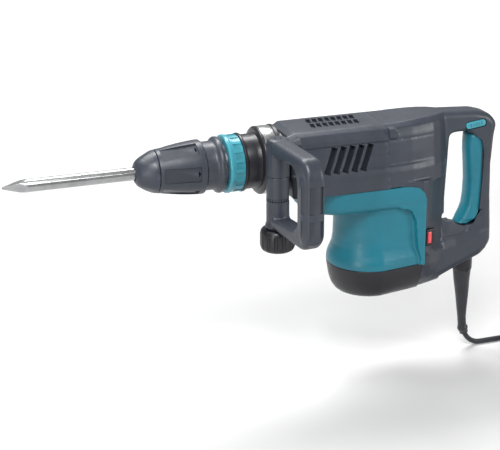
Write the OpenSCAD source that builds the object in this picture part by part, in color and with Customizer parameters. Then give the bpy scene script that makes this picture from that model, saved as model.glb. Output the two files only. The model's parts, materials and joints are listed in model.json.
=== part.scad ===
// Electric demolition hammer with a pointed chisel, a turning side handle and a D-shaped rear handle.
// Lengths are in millimetres. Every sub-part is drawn in the tool's own frame: X = 0 at the front of the
// nose cap, +X towards the rear handle, the hammer's axis along X, +Z up, the motor hanging below.
// tool_frame() then moves it so that the origin is the centre of the rear grip.

/* [Chisel] */
// Shank diameter of the chisel
shank_d = 18; // [17.9:0.1:18]
// Whole length of the chisel
chisel_len = 280; // [260:5:400]
// Length of the four-sided point
point_len = 34; // [28:1:44]
// Free travel of the chisel in its holder
chisel_play = 12; // [8:1:12]

/* [Chuck] */
// Largest radius of the release cover
cover_r = 38.5; // [38.5:0.1:39.5]
// How far the release cover slides back
release_travel = 8; // [5:1:8]
// Radius of the change ring
ring_r = 41.7; // [41:0.1:42]
// Number of pads around the change ring
ring_pads = 16; // [12:1:20]
// Radius of the barrel's flanges and of the side handle's band
barrel_r = 48.6; // [48.4:0.1:49]

/* [Striking unit] */
// Bore of the striking cylinder
cylinder_d = 42; // [42:0.5:43]
// Radius of the crank pin's circle
crank_r = 12; // [9:1:12]
// Tooth module of the gear pair
gear_module = 2; // [2:1:2]
// Teeth on the motor's pinion
pinion_teeth = 8; // [8:1:8]
// Teeth on the crank gear
crank_teeth = 46; // [46:1:46]

/* [Motor] */
// Radius of the stator
stator_r = 46; // [44:0.5:46]
// Outer radius of the motor housing
motor_r = 52; // [51:0.5:53]
// Radius of the foot of the motor housing
foot_r = 62; // [60:0.5:63]

/* [Side handle] */
// Diameter of the handle's round spine
spine_d = 32; // [30:1:34]
// Distance from the spine's axis to the grip's axis
handle_reach = 102; // [90:1:110]
// Diameter of the side grip
side_grip_d = 34; // [30:1:36]
// Angle of the side handle towards the rear
handle_yaw = 5; // [0:1:8]

/* [Rear handle] */
// Width of the rear handle
handle_w = 42; // [38:1:46]
// Width of the trigger
trigger_w = 28; // [24:1:32]

/* [Cord] */
// Diameter of the mains cord
cord_d = 8; // [7:0.1:9]
// Mean radius of the coil that the rest of the cord lies in
coil_r = 54; // [50:1:60]
// Turns beside each other in the coil, which is also its number of layers
coil_turns = 4; // [4:1:5]

/* [Hidden] */
$fn = 72;
// The centre of the rear grip, in the tool's frame
grip_x = 540;
grip_z = -70;
// Gap between faces of different sub-parts that only meet
gap = 0.3;
// Radial clearance of a shaft that turns or slides in its bore
fit = 0.05;

shank_r = shank_d / 2;
shank_end = 96;
holder_r = 17;
holder_neck_r = 22;
holder_body_r = 30;
roller_r = 5.5;
roller_x = 52;
roller_len = 14;
roller_reach = 6.5;

cap_end = 29.5;
cover_x0 = 30;
cover_x1 = 96;
collar_x0 = 97;
collar_x1 = 123;
ring_x0 = 128;
ring_x1 = 150;
detent_x1 = 155;
sleeve_x1 = 176;
band_x0 = 181;
band_x1 = 200;
barrel_x1 = 205;
barrel_end = 262;
barrel_seat_r = 46;
barrel_inner_r = 38;

bolt_r = 15;
striker_r = cylinder_d / 2 - fit;
cylinder_or = cylinder_d / 2 + 4;
striker_x0 = 165;
striker_x1 = 195;
piston_x0 = 211;
wrist_x = 250;
crank_x = 301;
motor_x = crank_x + gear_module * (pinion_teeth + crank_teeth) / 2;
pin_x = crank_x - crank_r;
crank_pin_r = 6;
crank_shaft_r = 10;
gear_z0 = -54;
gear_z1 = -42;
pressure_angle = 20;
profile_shift = 0.5;
backlash = 0.25;

seam_x = 362;
arm_x = 421;
housing_floor_z = -46;
band_z0 = -78;
motor_foot_z = -170;
base_z = -215;
front_arc_r = 150;

spine_x = 187;
spine_y = -66;
spine_joint_z = -3;
detent_joint_z = -39;
spine_top_z = 50;
spine_bottom_z = -80;
handle_bolt_r = 5;

trigger_pin_x = 520;
grip_wall_x = 536;
grip_cover_x = 538.5;
trigger_pin_z = -112;

// Centre line of the cord guard, and its radius at each point
guard_base = [513, 0, -182];
guard_collar = [513.5, 0, -211];
guard_collar_r = 16;
guard_line = [
    guard_base, guard_collar, [513.5, 0, -211.6], [515, 0, -246], [516.5, 0, -284],
    [518, 0, -303], [519.5, 0, -309.5], [522, 0, -317]];
guard_radii = [guard_collar_r, guard_collar_r, 14, 11.3, 6.8, 6.4, 7.6, 6.6];

// The cord, from the end of the guard down to the floor and along it
floor_z = -341;
cord_z = floor_z + cord_d / 2;
cord_route = [
    [522, 0, -317], [526, 0, -324], [531, 0, -329.5], [537.5, 0, -334],
    [545, 0, -336.5], [552, 0, cord_z], [568, 0, cord_z], [590, 0, cord_z],
    [614, 0, cord_z], [640, 0, cord_z]];
coil_x = 648;
coil_w = coil_turns * cord_d;
coil_h = coil_w - 2;
coil_y = -(coil_r + coil_w / 2 - cord_d / 2);
// The other end leaves the coil's top layer and comes down to the floor
tail_x = coil_x - coil_y;
plug_y = -160;
tail_route = [
    [tail_x, -80, -316], [tail_x, -92, -317.5], [tail_x, -106, -323], [tail_x, -120, -330.5],
    [tail_x, -134, -335.5], [tail_x, -147, cord_z], [tail_x, plug_y, cord_z]];

// ---------------------------------------------------------------- helpers

module tool_frame() {
    translate([-grip_x, 0, -grip_z]) children();
}

// Turns a shape about Z into the same shape about X, its height along +X
module about_x(x = 0) {
    translate([x, 0, 0]) rotate([0, 90, 0]) children();
}

// A solid of revolution about X from an outline of [radius, x] points
module turned(outline) {
    rotate([0, 90, 0]) rotate_extrude() polygon(outline);
}

// A plain ring about X
module ring_x(x0, x1, outer, inner) {
    turned([[inner, x0], [outer, x0], [outer, x1], [inner, x1]]);
}

// A plain ring about a vertical axis
module ring_z(z0, z1, outer, inner) {
    rotate_extrude() polygon([[inner, z0], [outer, z0], [outer, z1], [inner, z1]]);
}

// A box from its low corner to its high corner
module box(low, high) {
    translate(low) cube(high - low);
}

// A box that is symmetric about the plane y = 0
module mid_box(x0, x1, half_w, z0, z1) {
    box([x0, -half_w, z0], [x1, half_w, z1]);
}

// A round bar from one point to another
module bar(from, to, r1, r2) {
    d = to - from;
    translate(from)
        rotate([0, acos(d.z / norm(d)), atan2(d.y, d.x)])
            cylinder(h = norm(d), r1 = r1, r2 = r2);
}

function unit(v) = v / norm(v);
function tangent(p, i) = unit(p[min(i + 1, len(p) - 1)] - p[max(i - 1, 0)]);

// A tube that follows a route in one piece; its rings never twist while the route isn't along `up`
module swept_tube(p, r, sides, up) {
    n = len(p);
    rings = [for (i = [0 : n - 1])
        let (t = tangent(p, i), a = unit(cross(t, up)), b = cross(a, t),
             ring_r = is_list(r) ? r[i] : r)
            for (k = [0 : sides - 1])
                p[i] + ring_r * (cos(360 * k / sides) * a + sin(360 * k / sides) * b)];
    walls = [for (i = [0 : n - 2], k = [0 : sides - 1])
        [i * sides + k, i * sides + (k + 1) % sides,
         (i + 1) * sides + (k + 1) % sides, (i + 1) * sides + k]];
    first = [for (k = [0 : sides - 1]) sides - 1 - k];
    last = [for (k = [0 : sides - 1]) (n - 1) * sides + k];
    polyhedron(rings, concat([first], walls, [last]), convexity = 6);
}

// ---------------------------------------------------------------- gears

function involute(base, r) =
    r <= base ? 0 : tan(acos(base / r)) * 180 / PI - acos(base / r);

// Outline of an involute gear with one tooth centred on +X
function gear_outline(teeth, shift, radii) =
    let (pitch = gear_module * teeth / 2,
         base = pitch * cos(pressure_angle),
         half = (90 + 2 * shift * tan(pressure_angle) * 180 / PI) / teeth
             + involute(base, pitch) - backlash / (2 * pitch) * 180 / PI,
         last = len(radii) - 1)
    [for (i = [0 : teeth - 1], side = [-1, 1], k = [0 : last])
        let (r = side < 0 ? radii[k] : radii[last - k],
             a = 360 * i / teeth + side * (half - involute(base, r)))
            [r * cos(a), r * sin(a)]];

// ---------------------------------------------------------------- chuck

module chisel() {
    tip_x = shank_end - chisel_len;
    taper = atan((shank_r - 1.2) / point_len);
    color("silver") tool_frame() difference() {
        about_x(tip_x) cylinder(h = chisel_len, r = shank_r);
        // the four flats of the point
        for (a = [0 : 90 : 270])
            rotate([a, 0, 0]) translate([tip_x, 0, 1.2]) rotate([0, -taper, 0])
                translate([-20, -20, 0]) cube([point_len + 24, 40, 20]);
        // closed grooves for the rollers, long enough for the free travel
        for (s = [-1, 1])
            scale([1, 1, s])
                mid_box(roller_x - chisel_play - 0.5, roller_x + roller_len + 0.5, 5.6,
                        roller_reach - 0.2, shank_r + 1);
        // open drive slots
        for (s = [-1, 1])
            scale([1, s, 1])
                box([62, shank_r - 3, -2.6], [shank_end + 1, shank_r + 1, 2.6]);
    }
}

module nose_cap() {
    color("dimgray") tool_frame() turned([
        [shank_r + fit, 0], [12.5, 0], [17, 2.5], [21, 8], [26, 17], [30, cap_end - 2],
        [30, cap_end], [holder_r, cap_end], [holder_r, 8], [shank_r + fit, 8]]);
}

module release_cover() {
    bay_r = 26;
    rear_r = 35;
    color("dimgray") tool_frame() difference() {
        turned([
            [holder_r + fit, cover_x0], [30.4, cover_x0], [32.6, 43], [36, 65],
            [cover_r - 0.4, 87], [cover_r, 92], [cover_r - 0.9, cover_x1], [rear_r, cover_x1],
            [rear_r, 83], [bay_r, 83], [bay_r, 38], [holder_r + fit, 38]]);
        // shallow grip pockets
        for (a = [22.5 : 45 : 360])
            rotate([a, 0, 0]) translate([50, 0, 33.2]) rotate([0, -6.5, 0])
                translate([0, -7, 0]) cube([37, 14, 8]);
    }
}

module lock_sleeve() {
    color("silver") tool_frame() ring_x(40, 70, 26, holder_r + 0.6);
}

module tool_holder() {
    bore_r = shank_r + fit;
    color("silver") tool_frame() difference() {
        turned([
            [bore_r, 8], [holder_r, 8], [holder_r, 95], [holder_neck_r, 95],
            [holder_neck_r, collar_x1], [holder_body_r, collar_x1], [holder_body_r, 172],
            [cylinder_or + 0.2, 172], [cylinder_or + 0.2, 158], [bolt_r + fit, 158],
            [bolt_r + fit, 119], [bore_r, 119]]);
        // windows for the locking rollers
        for (s = [-1, 1])
            scale([1, 1, s])
                mid_box(roller_x - 0.1, roller_x + roller_len + 0.1, roller_r + 0.1, 5, holder_r + 1);
    }
}

module locking_rollers() {
    color("silver") tool_frame()
        for (s = [-1, 1])
            translate([0, 0, s * (roller_reach + roller_r)])
                about_x(roller_x) cylinder(h = roller_len, r = roller_r);
}

module release_spring() {
    turns = 3.5;
    steps = 16;
    pitch = 3;
    wire_r = 1.1;
    coil = [for (i = [0 : turns * steps])
        [79.2 + pitch * i / steps + wire_r, 22.5 * cos(360 * i / steps), 22.5 * sin(360 * i / steps)]];
    color("gray") tool_frame() swept_tube(coil, wire_r, 6, [1, 0, 0]);
}

module spring_washer() {
    color("silver") tool_frame() ring_x(92, 95, 33, holder_r);
}

module neck_collar() {
    color("dimgray") tool_frame() turned([
        [holder_neck_r, collar_x0], [34.5, collar_x0], [34.5, 112], [36.5, 114], [39.5, 116],
        [40, 118], [40, collar_x1], [holder_neck_r, collar_x1]]);
}

module change_ring() {
    pad_gap = 4.2;
    color("cadetblue") tool_frame() difference() {
        turned([
            [holder_body_r + fit, ring_x0], [ring_r - 1.5, ring_x0], [ring_r, ring_x0 + 1.5],
            [ring_r, 133], [ring_r - 0.7, 133.7], [ring_r - 0.7, ring_x1 - 0.8],
            [ring_r - 1.5, ring_x1], [holder_body_r + fit, ring_x1]]);
        for (i = [0 : ring_pads - 1])
            rotate([360 * i / ring_pads, 0, 0])
                mid_box(135, ring_x1 + 1, pad_gap / 2, ring_r - 1.7, ring_r + 2);
    }
}

module detent_ring() {
    color("dimgray") tool_frame() turned([
        [holder_body_r + fit, ring_x1 + gap], [41.2, ring_x1 + gap], [42, 151], [42, detent_x1],
        [holder_body_r + fit, detent_x1]]);
}

module front_sleeve() {
    color("dimgray") tool_frame() turned([
        [holder_body_r + fit, detent_x1], [39, detent_x1], [39, 171], [40.5, sleeve_x1],
        [holder_body_r + fit, sleeve_x1]]);
}

// ---------------------------------------------------------------- barrel and side handle

module barrel() {
    color("gray") tool_frame() difference() {
        turned([
            [cylinder_or, sleeve_x1], [43, sleeve_x1], [47, 177.2], [barrel_r, 179],
            [barrel_r, band_x0 - gap], [barrel_seat_r, band_x0 - gap], [barrel_seat_r, band_x1 + gap],
            [barrel_r, band_x1 + gap], [barrel_r + 0.8, 202], [barrel_r + 0.8, barrel_x1],
            [barrel_inner_r, barrel_x1], [barrel_inner_r, barrel_end], [cylinder_or, barrel_end]]);
        // four screw holes into the gear case
        for (a = [45 : 90 : 315])
            rotate([a, 0, 0]) translate([0, 0, 35]) about_x(230) cylinder(h = 40, r = 3);
    }
}

module barrel_screws() {
    color("silver") tool_frame()
        for (a = [45 : 90 : 315])
            rotate([a, 0, 0]) translate([0, 0, 35]) about_x(236) cylinder(h = barrel_end + 10 - 236, r = 3);
}

module handle_band() {
    color("silver") tool_frame() ring_x(band_x0, band_x1, barrel_r, barrel_seat_r + fit);
}

module grip_base() {
    color("dimgray") tool_frame() difference() {
        union() {
            translate([spine_x, spine_y, detent_joint_z + gap])
                cylinder(h = spine_joint_z - detent_joint_z - 2 * gap, r = spine_d / 2);
            box([band_x0 + 0.5, spine_y, detent_joint_z + 2], [band_x1 - 0.5, -30, spine_joint_z - 2]);
        }
        about_x(170) cylinder(h = 40, r = barrel_r);
        translate([spine_x, spine_y, -60]) cylinder(h = 80, r = handle_bolt_r);
    }
}

module side_handle() {
    arm_top = 31;
    arm_low = -58;
    corner = 26;
    far = handle_reach + side_grip_d / 2;
    color("dimgray") tool_frame() translate([spine_x, spine_y, 0]) rotate([0, 0, handle_yaw - 90])
        difference() {
            union() {
                rotate([90, 0, 0]) translate([0, 0, -14]) linear_extrude(28) difference() {
                    hull() {
                        translate([0, spine_bottom_z]) square([20, 130]);
                        translate([far - corner, spine_top_z - corner]) circle(corner, $fn = 40);
                        translate([far - corner, spine_bottom_z + corner]) circle(corner, $fn = 40);
                    }
                    hull()
                        for (u = [spine_d / 2 + 9, handle_reach - side_grip_d / 2 - 9],
                             v = [arm_low + 9, arm_top - 9])
                            translate([u, v]) circle(9, $fn = 32);
                    translate([-20, detent_joint_z]) square([spine_d / 2 + 21, spine_joint_z - detent_joint_z]);
                }
                translate([handle_reach, 0, spine_bottom_z + corner])
                    cylinder(h = spine_top_z - spine_bottom_z - 2 * corner, r = side_grip_d / 2);
                translate([0, 0, spine_joint_z]) cylinder(h = spine_top_z - spine_joint_z, r = spine_d / 2);
                translate([0, 0, spine_bottom_z])
                    cylinder(h = detent_joint_z - spine_bottom_z, r = spine_d / 2);
            }
            translate([0, 0, spine_bottom_z - 1]) cylinder(h = 140, r = handle_bolt_r + fit);
            translate([0, 0, spine_top_z - 8]) cylinder(h = 10, r = 10);
        }
}

module handle_bolt() {
    color("silver") tool_frame() translate([spine_x, spine_y, 0]) {
        translate([0, 0, -106]) cylinder(h = spine_top_z - 8 + 106 + gap, r = handle_bolt_r);
        translate([0, 0, spine_top_z - 8 + gap]) cylinder(h = 6, r = 8.7, $fn = 6);
    }
}

module clamp_nut() {
    nut_r = 25;
    ribs = 14;
    color("dimgray") tool_frame() translate([spine_x, spine_y, 0]) difference() {
        rotate_extrude() polygon([
            [0, -113], [nut_r - 4, -113], [nut_r, -108], [nut_r, -86], [nut_r - 3, spine_bottom_z - gap],
            [handle_bolt_r + fit, spine_bottom_z - gap], [handle_bolt_r + fit, -108], [0, -108]]);
        for (i = [0 : ribs - 1])
            rotate([0, 0, 360 * i / ribs]) translate([nut_r + 1.2, 0, -120]) cylinder(h = 36, r = 3);
    }
}

// ---------------------------------------------------------------- striking unit

module impact_bolt() {
    color("silver") tool_frame() turned([
        [0, 109], [shank_r - 1, 109], [shank_r, 110], [shank_r, 119.5], [bolt_r, 119.5], [bolt_r, 137],
        [10, 139], [10, 150], [0, 150]]);
}

module bolt_retainer() {
    color("silver") tool_frame() ring_x(147, 154, bolt_r + fit, 10.3);
}

module cylinder_tube() {
    color("silver") tool_frame() ring_x(160, barrel_end, cylinder_or, cylinder_d / 2);
}

module striker() {
    color("silver") tool_frame() turned([
        [0, 160.5], [9, 160.5], [10, 162], [10, striker_x0], [striker_r, striker_x0], [striker_r, 176],
        [striker_r - 2, 176], [striker_r - 2, 179], [striker_r, 179], [striker_r, striker_x1],
        [0, striker_x1]]);
}

module striker_ring() {
    color("black") tool_frame() ring_x(176.1, 178.9, striker_r, striker_r - 2);
}

module piston() {
    ear_z = 8;
    ear_t = 6;
    color("gray") tool_frame() difference() {
        union() {
            turned([
                [0, piston_x0], [striker_r, piston_x0], [striker_r, 213], [striker_r - 2, 213],
                [striker_r - 2, 216], [striker_r, 216], [striker_r, 218], [0, 218]]);
            for (s = [-1, 1])
                scale([1, 1, s]) mid_box(217, 258, 9, ear_z, ear_z + ear_t);
        }
        translate([wrist_x, 0, -20]) cylinder(h = 40, r = 5 + fit);
    }
}

module piston_ring() {
    color("black") tool_frame() ring_x(213.1, 215.9, striker_r, striker_r - 2);
}

module connecting_rod() {
    half_t = 6;
    color("gray") tool_frame() difference() {
        union() {
            translate([pin_x, 0, -half_t]) cylinder(h = 2 * half_t, r = 10.5);
            translate([wrist_x, 0, -half_t]) cylinder(h = 2 * half_t, r = 7);
            mid_box(wrist_x, pin_x, 5, -half_t + 1, half_t - 1);
        }
        translate([pin_x, 0, -10]) cylinder(h = 20, r = crank_pin_r + fit);
        translate([wrist_x, 0, -10]) cylinder(h = 20, r = 4);
    }
}

module wrist_pin() {
    color("silver") tool_frame() translate([wrist_x, 0, -7.5]) cylinder(h = 15, r = 4);
}

module crankshaft() {
    color("gray") tool_frame() {
        translate([crank_x, 0, 0]) {
            ring_z(-65, -24, crank_shaft_r, 0);
            ring_z(-24, -14.5, 24, 0);
        }
        translate([pin_x, 0, -14.5]) cylinder(h = 21.5, r = crank_pin_r);
    }
}

module crank_gear() {
    radii = [42.5, 43.3, 44.6, 46.5];
    color("dimgray") tool_frame() translate([crank_x, 0, gear_z0]) difference() {
        linear_extrude(gear_z1 - gear_z0) polygon(gear_outline(crank_teeth, -profile_shift, radii));
        translate([0, 0, -1]) cylinder(h = 20, r = crank_shaft_r);
        for (a = [0 : 60 : 300])
            rotate([0, 0, a]) translate([27, 0, -1]) cylinder(h = 20, r = 7);
    }
}

module bearing(z0, z1, outer, inner) {
    race = (outer - inner) * 0.28;
    mid = (outer + inner) / 2;
    ring_z(z0, z1, outer, outer - race);
    ring_z(z0, z1, inner + race, inner);
    for (a = [0 : 45 : 315])
        rotate([0, 0, a]) translate([mid, 0, (z0 + z1) / 2]) sphere(r = (outer - inner) / 2 - race - fit, $fn = 24);
}

module crank_bearings() {
    color("silver") tool_frame() translate([crank_x, 0, 0]) {
        bearing(-37, -25, 21, crank_shaft_r);
        bearing(-65, -56, 19, crank_shaft_r);
    }
}

module crank_housing() {
    color("darkgray") tool_frame() difference() {
        union() {
            mid_box(barrel_end, 345, 39, -22, 37);
            mid_box(barrel_end, barrel_end + 12, 39, -37, -21);
            translate([crank_x, 0, -40]) cylinder(h = 19, r = 28);
            translate([crank_x, 0, -68]) cylinder(h = 29.5, r = 54);
            translate([motor_x, 0, -68]) cylinder(h = 29.5, r = 20);
            mid_box(crank_x, motor_x, 20, -68, -38.5);
        }
        // room for the crank and the rod, and the passage to the cylinder
        translate([crank_x, 0, -24.5]) cylinder(h = 56, r = 31);
        mid_box(barrel_end - 1, crank_x, 22, -16, 16);
        // room for the gear pair
        translate([crank_x, 0, -55]) cylinder(h = 14, r = 48.5);
        translate([motor_x, 0, -55]) cylinder(h = 14, r = 13);
        // bearing seats
        translate([crank_x, 0, -42]) cylinder(h = 18, r = 21);
        translate([crank_x, 0, -65]) cylinder(h = 11, r = 19);
        translate([motor_x, 0, -69]) cylinder(h = 15, r = 15);
        for (a = [45 : 90 : 315])
            rotate([a, 0, 0]) translate([0, 0, 35]) about_x(barrel_end - 1) cylinder(h = 11, r = 3);
    }
}

// ---------------------------------------------------------------- motor

module pinion() {
    radii = [6.4, 7.55, 8.5, 9.5, 10.5];
    color("silver") tool_frame() translate([motor_x, 0, gear_z0]) difference() {
        rotate([0, 0, 180 / pinion_teeth])
            linear_extrude(gear_z1 - gear_z0) polygon(gear_outline(pinion_teeth, profile_shift, radii));
        translate([0, 0, -1]) cylinder(h = 20, r = 4);
    }
}

module armature() {
    slots = 12;
    color("peru") tool_frame() translate([motor_x, 0, 0]) {
        ring_z(gear_z0, gear_z1 + 1, 4, 0);
        ring_z(-184, gear_z0, 6, 0);
        difference() {
            ring_z(-136, -86, 31, 6);
            for (i = [0 : slots - 1])
                rotate([0, 0, 360 * i / slots]) box([24, -1.5, -137], [33, 1.5, -85]);
        }
        ring_z(-141, -136, 24, 6);
        ring_z(-86, -82, 24, 6);
    }
}

module commutator() {
    bars = 18;
    color("darkgoldenrod") tool_frame() translate([motor_x, 0, 0]) difference() {
        ring_z(-161, -142, 18, 6);
        for (i = [0 : bars - 1])
            rotate([0, 0, 360 * i / bars]) box([16.8, -0.3, -162], [19, 0.3, -141]);
    }
}

module fan() {
    blades = 10;
    color("gainsboro") tool_frame() translate([motor_x, 0, 0]) {
        ring_z(-74, -71.5, 42, 6);
        ring_z(-81, -74, 12, 6);
        for (i = [0 : blades - 1])
            rotate([0, 0, 360 * i / blades]) box([11.5, -0.8, -81], [41, 0.8, -74]);
    }
}

module motor_bearings() {
    color("silver") tool_frame() translate([motor_x, 0, 0]) {
        bearing(-68, -57, 15, 6);
        bearing(-184, -174, 14, 6);
    }
}

module stator() {
    color("saddlebrown") tool_frame() translate([motor_x, 0, 0]) difference() {
        ring_z(-138, -84, stator_r, 32);
        for (s = [-1, 1])
            scale([1, s, 1]) box([-14, 30, -139], [14, 38, -83]);
    }
}

module brush_holders() {
    color("black") tool_frame() translate([motor_x, 0, 0])
        for (s = [-1, 1])
            scale([1, s, 1]) difference() {
                box([-7, 19, -158], [7, 44, -145]);
                box([-4, 18, -155], [4, 45, -148]);
            }
}

module carbon_brushes() {
    color("dimgray") tool_frame() translate([motor_x, 0, 0])
        for (s = [-1, 1])
            scale([1, s, 1]) difference() {
                box([-4, 17, -155], [4, 38, -148]);
                translate([0, 0, -160]) cylinder(h = 20, r = 18 + fit);
            }
}

// The plan of the wide band at the top of the motor housing, `inset` inside its surface
module band_plan(inset) {
    hull() {
        for (s = [-1, 1])
            translate([268, s * 35]) circle(25 - inset, $fn = 40);
        translate([330, -60 + inset]) square([arm_x - inset - 330, 120 - 2 * inset]);
    }
}

module motor_housing() {
    wall = 3.5;
    color("teal") tool_frame() difference() {
        union() {
            translate([0, 0, band_z0]) linear_extrude(housing_floor_z - gap - band_z0) band_plan(0);
            translate([motor_x, 0, 0]) rotate_extrude() polygon([
                [0, band_z0], [motor_r + 4, band_z0], [motor_r + 1, -88], [motor_r, -110],
                [motor_r + 1, -130], [motor_r + 5, -148], [foot_r - 1, -162], [foot_r, motor_foot_z],
                [0, motor_foot_z]]);
            mid_box(motor_x, arm_x, 50, motor_foot_z, band_z0 + 1);
            mid_box(402, arm_x, 56, motor_foot_z + 14, band_z0 + 1);
        }
        translate([0, 0, -69]) linear_extrude(27) band_plan(wall);
        translate([motor_x, 0, motor_foot_z - 1]) cylinder(h = 105, r = stator_r);
        mid_box(motor_x, arm_x - wall, 44, motor_foot_z - 1, -88);
    }
}

// The outline of the base, shrunk by `inset`, as slabs that get narrower downwards
module base_solid(inset) {
    hull() {
        translate([motor_x, 0, -175]) cylinder(h = 4.7, r = foot_r - 0.5 - inset, $fn = 64);
        mid_box(400, arm_x - inset, 50 - inset, -175, -170.3);
        translate([motor_x, 0, -200]) cylinder(h = 4, r = foot_r - 4 - inset, $fn = 64);
        mid_box(400, arm_x - inset, 44 - inset, -200, -196);
        translate([motor_x, 0, base_z + inset]) cylinder(h = 4, r = 48 - inset, $fn = 64);
        mid_box(400, arm_x - inset, 34 - inset, base_z + inset, base_z + inset + 4);
    }
}

module base_cover() {
    color("black") tool_frame() difference() {
        union() {
            difference() {
                base_solid(0);
                base_solid(3);
                mid_box(motor_x, arm_x - 3, 44, -176, -170);
                translate([motor_x, 0, -176]) cylinder(h = 8, r = foot_r - 3.6);
            }
            // cup of the lower motor bearing, and four screw posts
            translate([motor_x, 0, 0]) ring_z(-213, -174, 17.5, 14);
            translate([motor_x, 0, 0]) ring_z(-213, -185, 17.5, 0);
            for (a = [45 : 90 : 315])
                translate([motor_x, 0, 0]) rotate([0, 0, a]) translate([38, 0, -213]) cylinder(h = 30, r = 5);
        }
        for (a = [45 : 90 : 315])
            translate([motor_x, 0, 0]) rotate([0, 0, a]) translate([38, 0, base_z - 1]) {
                cylinder(h = 40, r = 2.5);
                cylinder(h = 5, r = 4.5);
            }
    }
}

module base_screws() {
    color("silver") tool_frame() translate([motor_x, 0, 0])
        for (a = [45 : 90 : 315])
            rotate([0, 0, a]) translate([38, 0, 0]) {
                translate([0, 0, base_z + 0.8]) cylinder(h = 3.2, r = 4.4);
                translate([0, 0, base_z + 4]) cylinder(h = 28, r = 2.5);
            }
}

// ---------------------------------------------------------------- casings

// Half of the casing's cross-section as [y, z] points, at a given share of full width
function casing_half(k) = [
    [35 * k, 44], [42 * k, 42.5], [46.5 * k, 38], [50 * k, 26], [51 * k, 22.5], [53.3 * k, 3],
    [53.6 * k, -12], [57 * k, -15], [59.3 * k, -22], [61 * k, housing_floor_z]];

module casing_section(k, inset) {
    half = casing_half(k);
    mirrored = [for (i = [len(half) - 1 : -1 : 0]) [-half[i].x, half[i].y]];
    offset(delta = -inset) polygon(concat(half, mirrored));
}

// A slab of the casing's cross-section, standing across the X axis
module casing_slab(x0, x1, k, inset) {
    translate([x0, 0, 0]) rotate([90, 0, 90]) linear_extrude(x1 - x0) casing_section(k, inset);
}

// The plan of the casing's rounded front edge
module front_plan(inset) {
    translate([barrel_x1 + front_arc_r, 0, -100]) cylinder(h = 200, r = front_arc_r - inset, $fn = 160);
    mid_box(barrel_x1 + front_arc_r, 500, 100, -100, 100);
}

module housing_cover() {
    wall = 3;
    color("slategray") tool_frame() difference() {
        intersection() {
            casing_slab(barrel_x1, seam_x, 1, 0);
            front_plan(0);
        }
        intersection() {
            casing_slab(barrel_x1, seam_x + 1, 1, wall);
            front_plan(wall);
        }
        mid_box(243, seam_x + 1, 57, housing_floor_z - 1, housing_floor_z + 4);
        about_x(barrel_x1 - 1) cylinder(h = 20, r = barrel_inner_r);
        // two rows of slanting vents on top
        for (row = [0, 1], i = [0 : 6])
            translate([282 + 9.5 * i, -16 + 16 * row, 40]) rotate([0, 0, -32])
                translate([-1.8, -6, 0]) cube([3.6, 12, 10]);
        // slanting louvres on both sides
        for (s = [-1, 1], i = [0 : 4])
            scale([1, s, 1]) translate([298 + 12 * i, -60, 2]) rotate([0, 24, 0])
                translate([-1.8, 0, -12]) cube([3.6, 14, 26]);
    }
}

// Side view of the rear handle, with its finger opening cut out
module handle_side() {
    difference() {
        polygon([
            [440, 51], [466, 50], [520, 46], [536, 42], [549, 34], [553, 24], [549.5, 2], [546.5, -40],
            [547.5, -90], [550.5, -132], [551.5, -162], [547, -174], [536, -184], [493, -201], [464, base_z],
            [arm_x + gap, base_z], [arm_x + gap, -180], [440, -100]]);
        polygon([
            [478, 12], [505, 12], [514, 6], [516, -8], [516, -100], [513, -115], [505, -117],
            [475, -117], [471, -108], [471, -86], [475, -10]]);
    }
}

module rear_housing() {
    half_w = handle_w / 2;
    wall = 3;
    color("slategray") tool_frame() difference() {
        union() {
            hull() {
                casing_slab(seam_x + gap, seam_x + 2, 1, 0);
                casing_slab(400, 402, 0.93, 0);
                translate([0, 0, 4]) casing_slab(440, 442, 0.78, 0);
                mid_box(464, 469, 26, housing_floor_z, 46);
            }
            hull() {
                mid_box(arm_x + gap, arm_x + 2, 48, -190, housing_floor_z + 2);
                mid_box(464, 467, 22, -190, housing_floor_z + 2);
                mid_box(arm_x + gap, arm_x + 2, 34, base_z, -190);
                mid_box(455, 458, 16, base_z, -190);
            }
            translate([0, half_w, 0]) rotate([90, 0, 0]) linear_extrude(handle_w) handle_side();
        }
        // inside of the body and of the lower arm
        hull() {
            casing_slab(seam_x - 1, seam_x + 2, 1, wall);
            casing_slab(400, 402, 0.93, wall);
            mid_box(458, 463, 22, housing_floor_z - 1, 42);
        }
        mid_box(seam_x - 1, arm_x + gap, 57, housing_floor_z - 2, housing_floor_z + 4);
        mid_box(arm_x - 1, arm_x + 12, 42, -186, housing_floor_z);
        mid_box(arm_x + 10, 462, 18, -200, housing_floor_z);
        mid_box(460, 500, 14, -180, -135);
        // room for the trigger and the switch in the grip
        mid_box(500, grip_wall_x, half_w - 5, -116, 12);
        mid_box(520, grip_wall_x, half_w - 5, -160, 17);
        // seat of the grip cover
        mid_box(grip_cover_x, 565, half_w + 1, -140, 12);
        screw_heads(3);
        // seat of the cord guard
        bar(guard_base, guard_collar, guard_collar_r, guard_collar_r);
        // slot for the locking button
        box([498, -half_w - 1, 19.5], [532.5, half_w + 1, 32]);
    }
}

module grip_cover() {
    half_w = handle_w / 2;
    color("darkslategray") tool_frame() difference() {
        intersection() {
            translate([0, half_w, 0]) rotate([90, 0, 0]) linear_extrude(handle_w) handle_side();
            mid_box(grip_cover_x, 565, half_w + 1, -140, 12);
        }
        mid_box(530, 543, half_w - 5, -130, 0);
    }
}

// The five screws in the handle's right side, as [x, z] places
screw_spots = [[487, 33], [541, 28], [541, -152], [487, -152], [494, -186]];

module screw_heads(h) {
    for (p = screw_spots)
        translate([p.x, handle_w / 2 - 2.5, p.y]) rotate([-90, 0, 0]) cylinder(h = h, r = 3.5);
}

module handle_screws() {
    color("silver") tool_frame() screw_heads(2);
}

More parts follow.
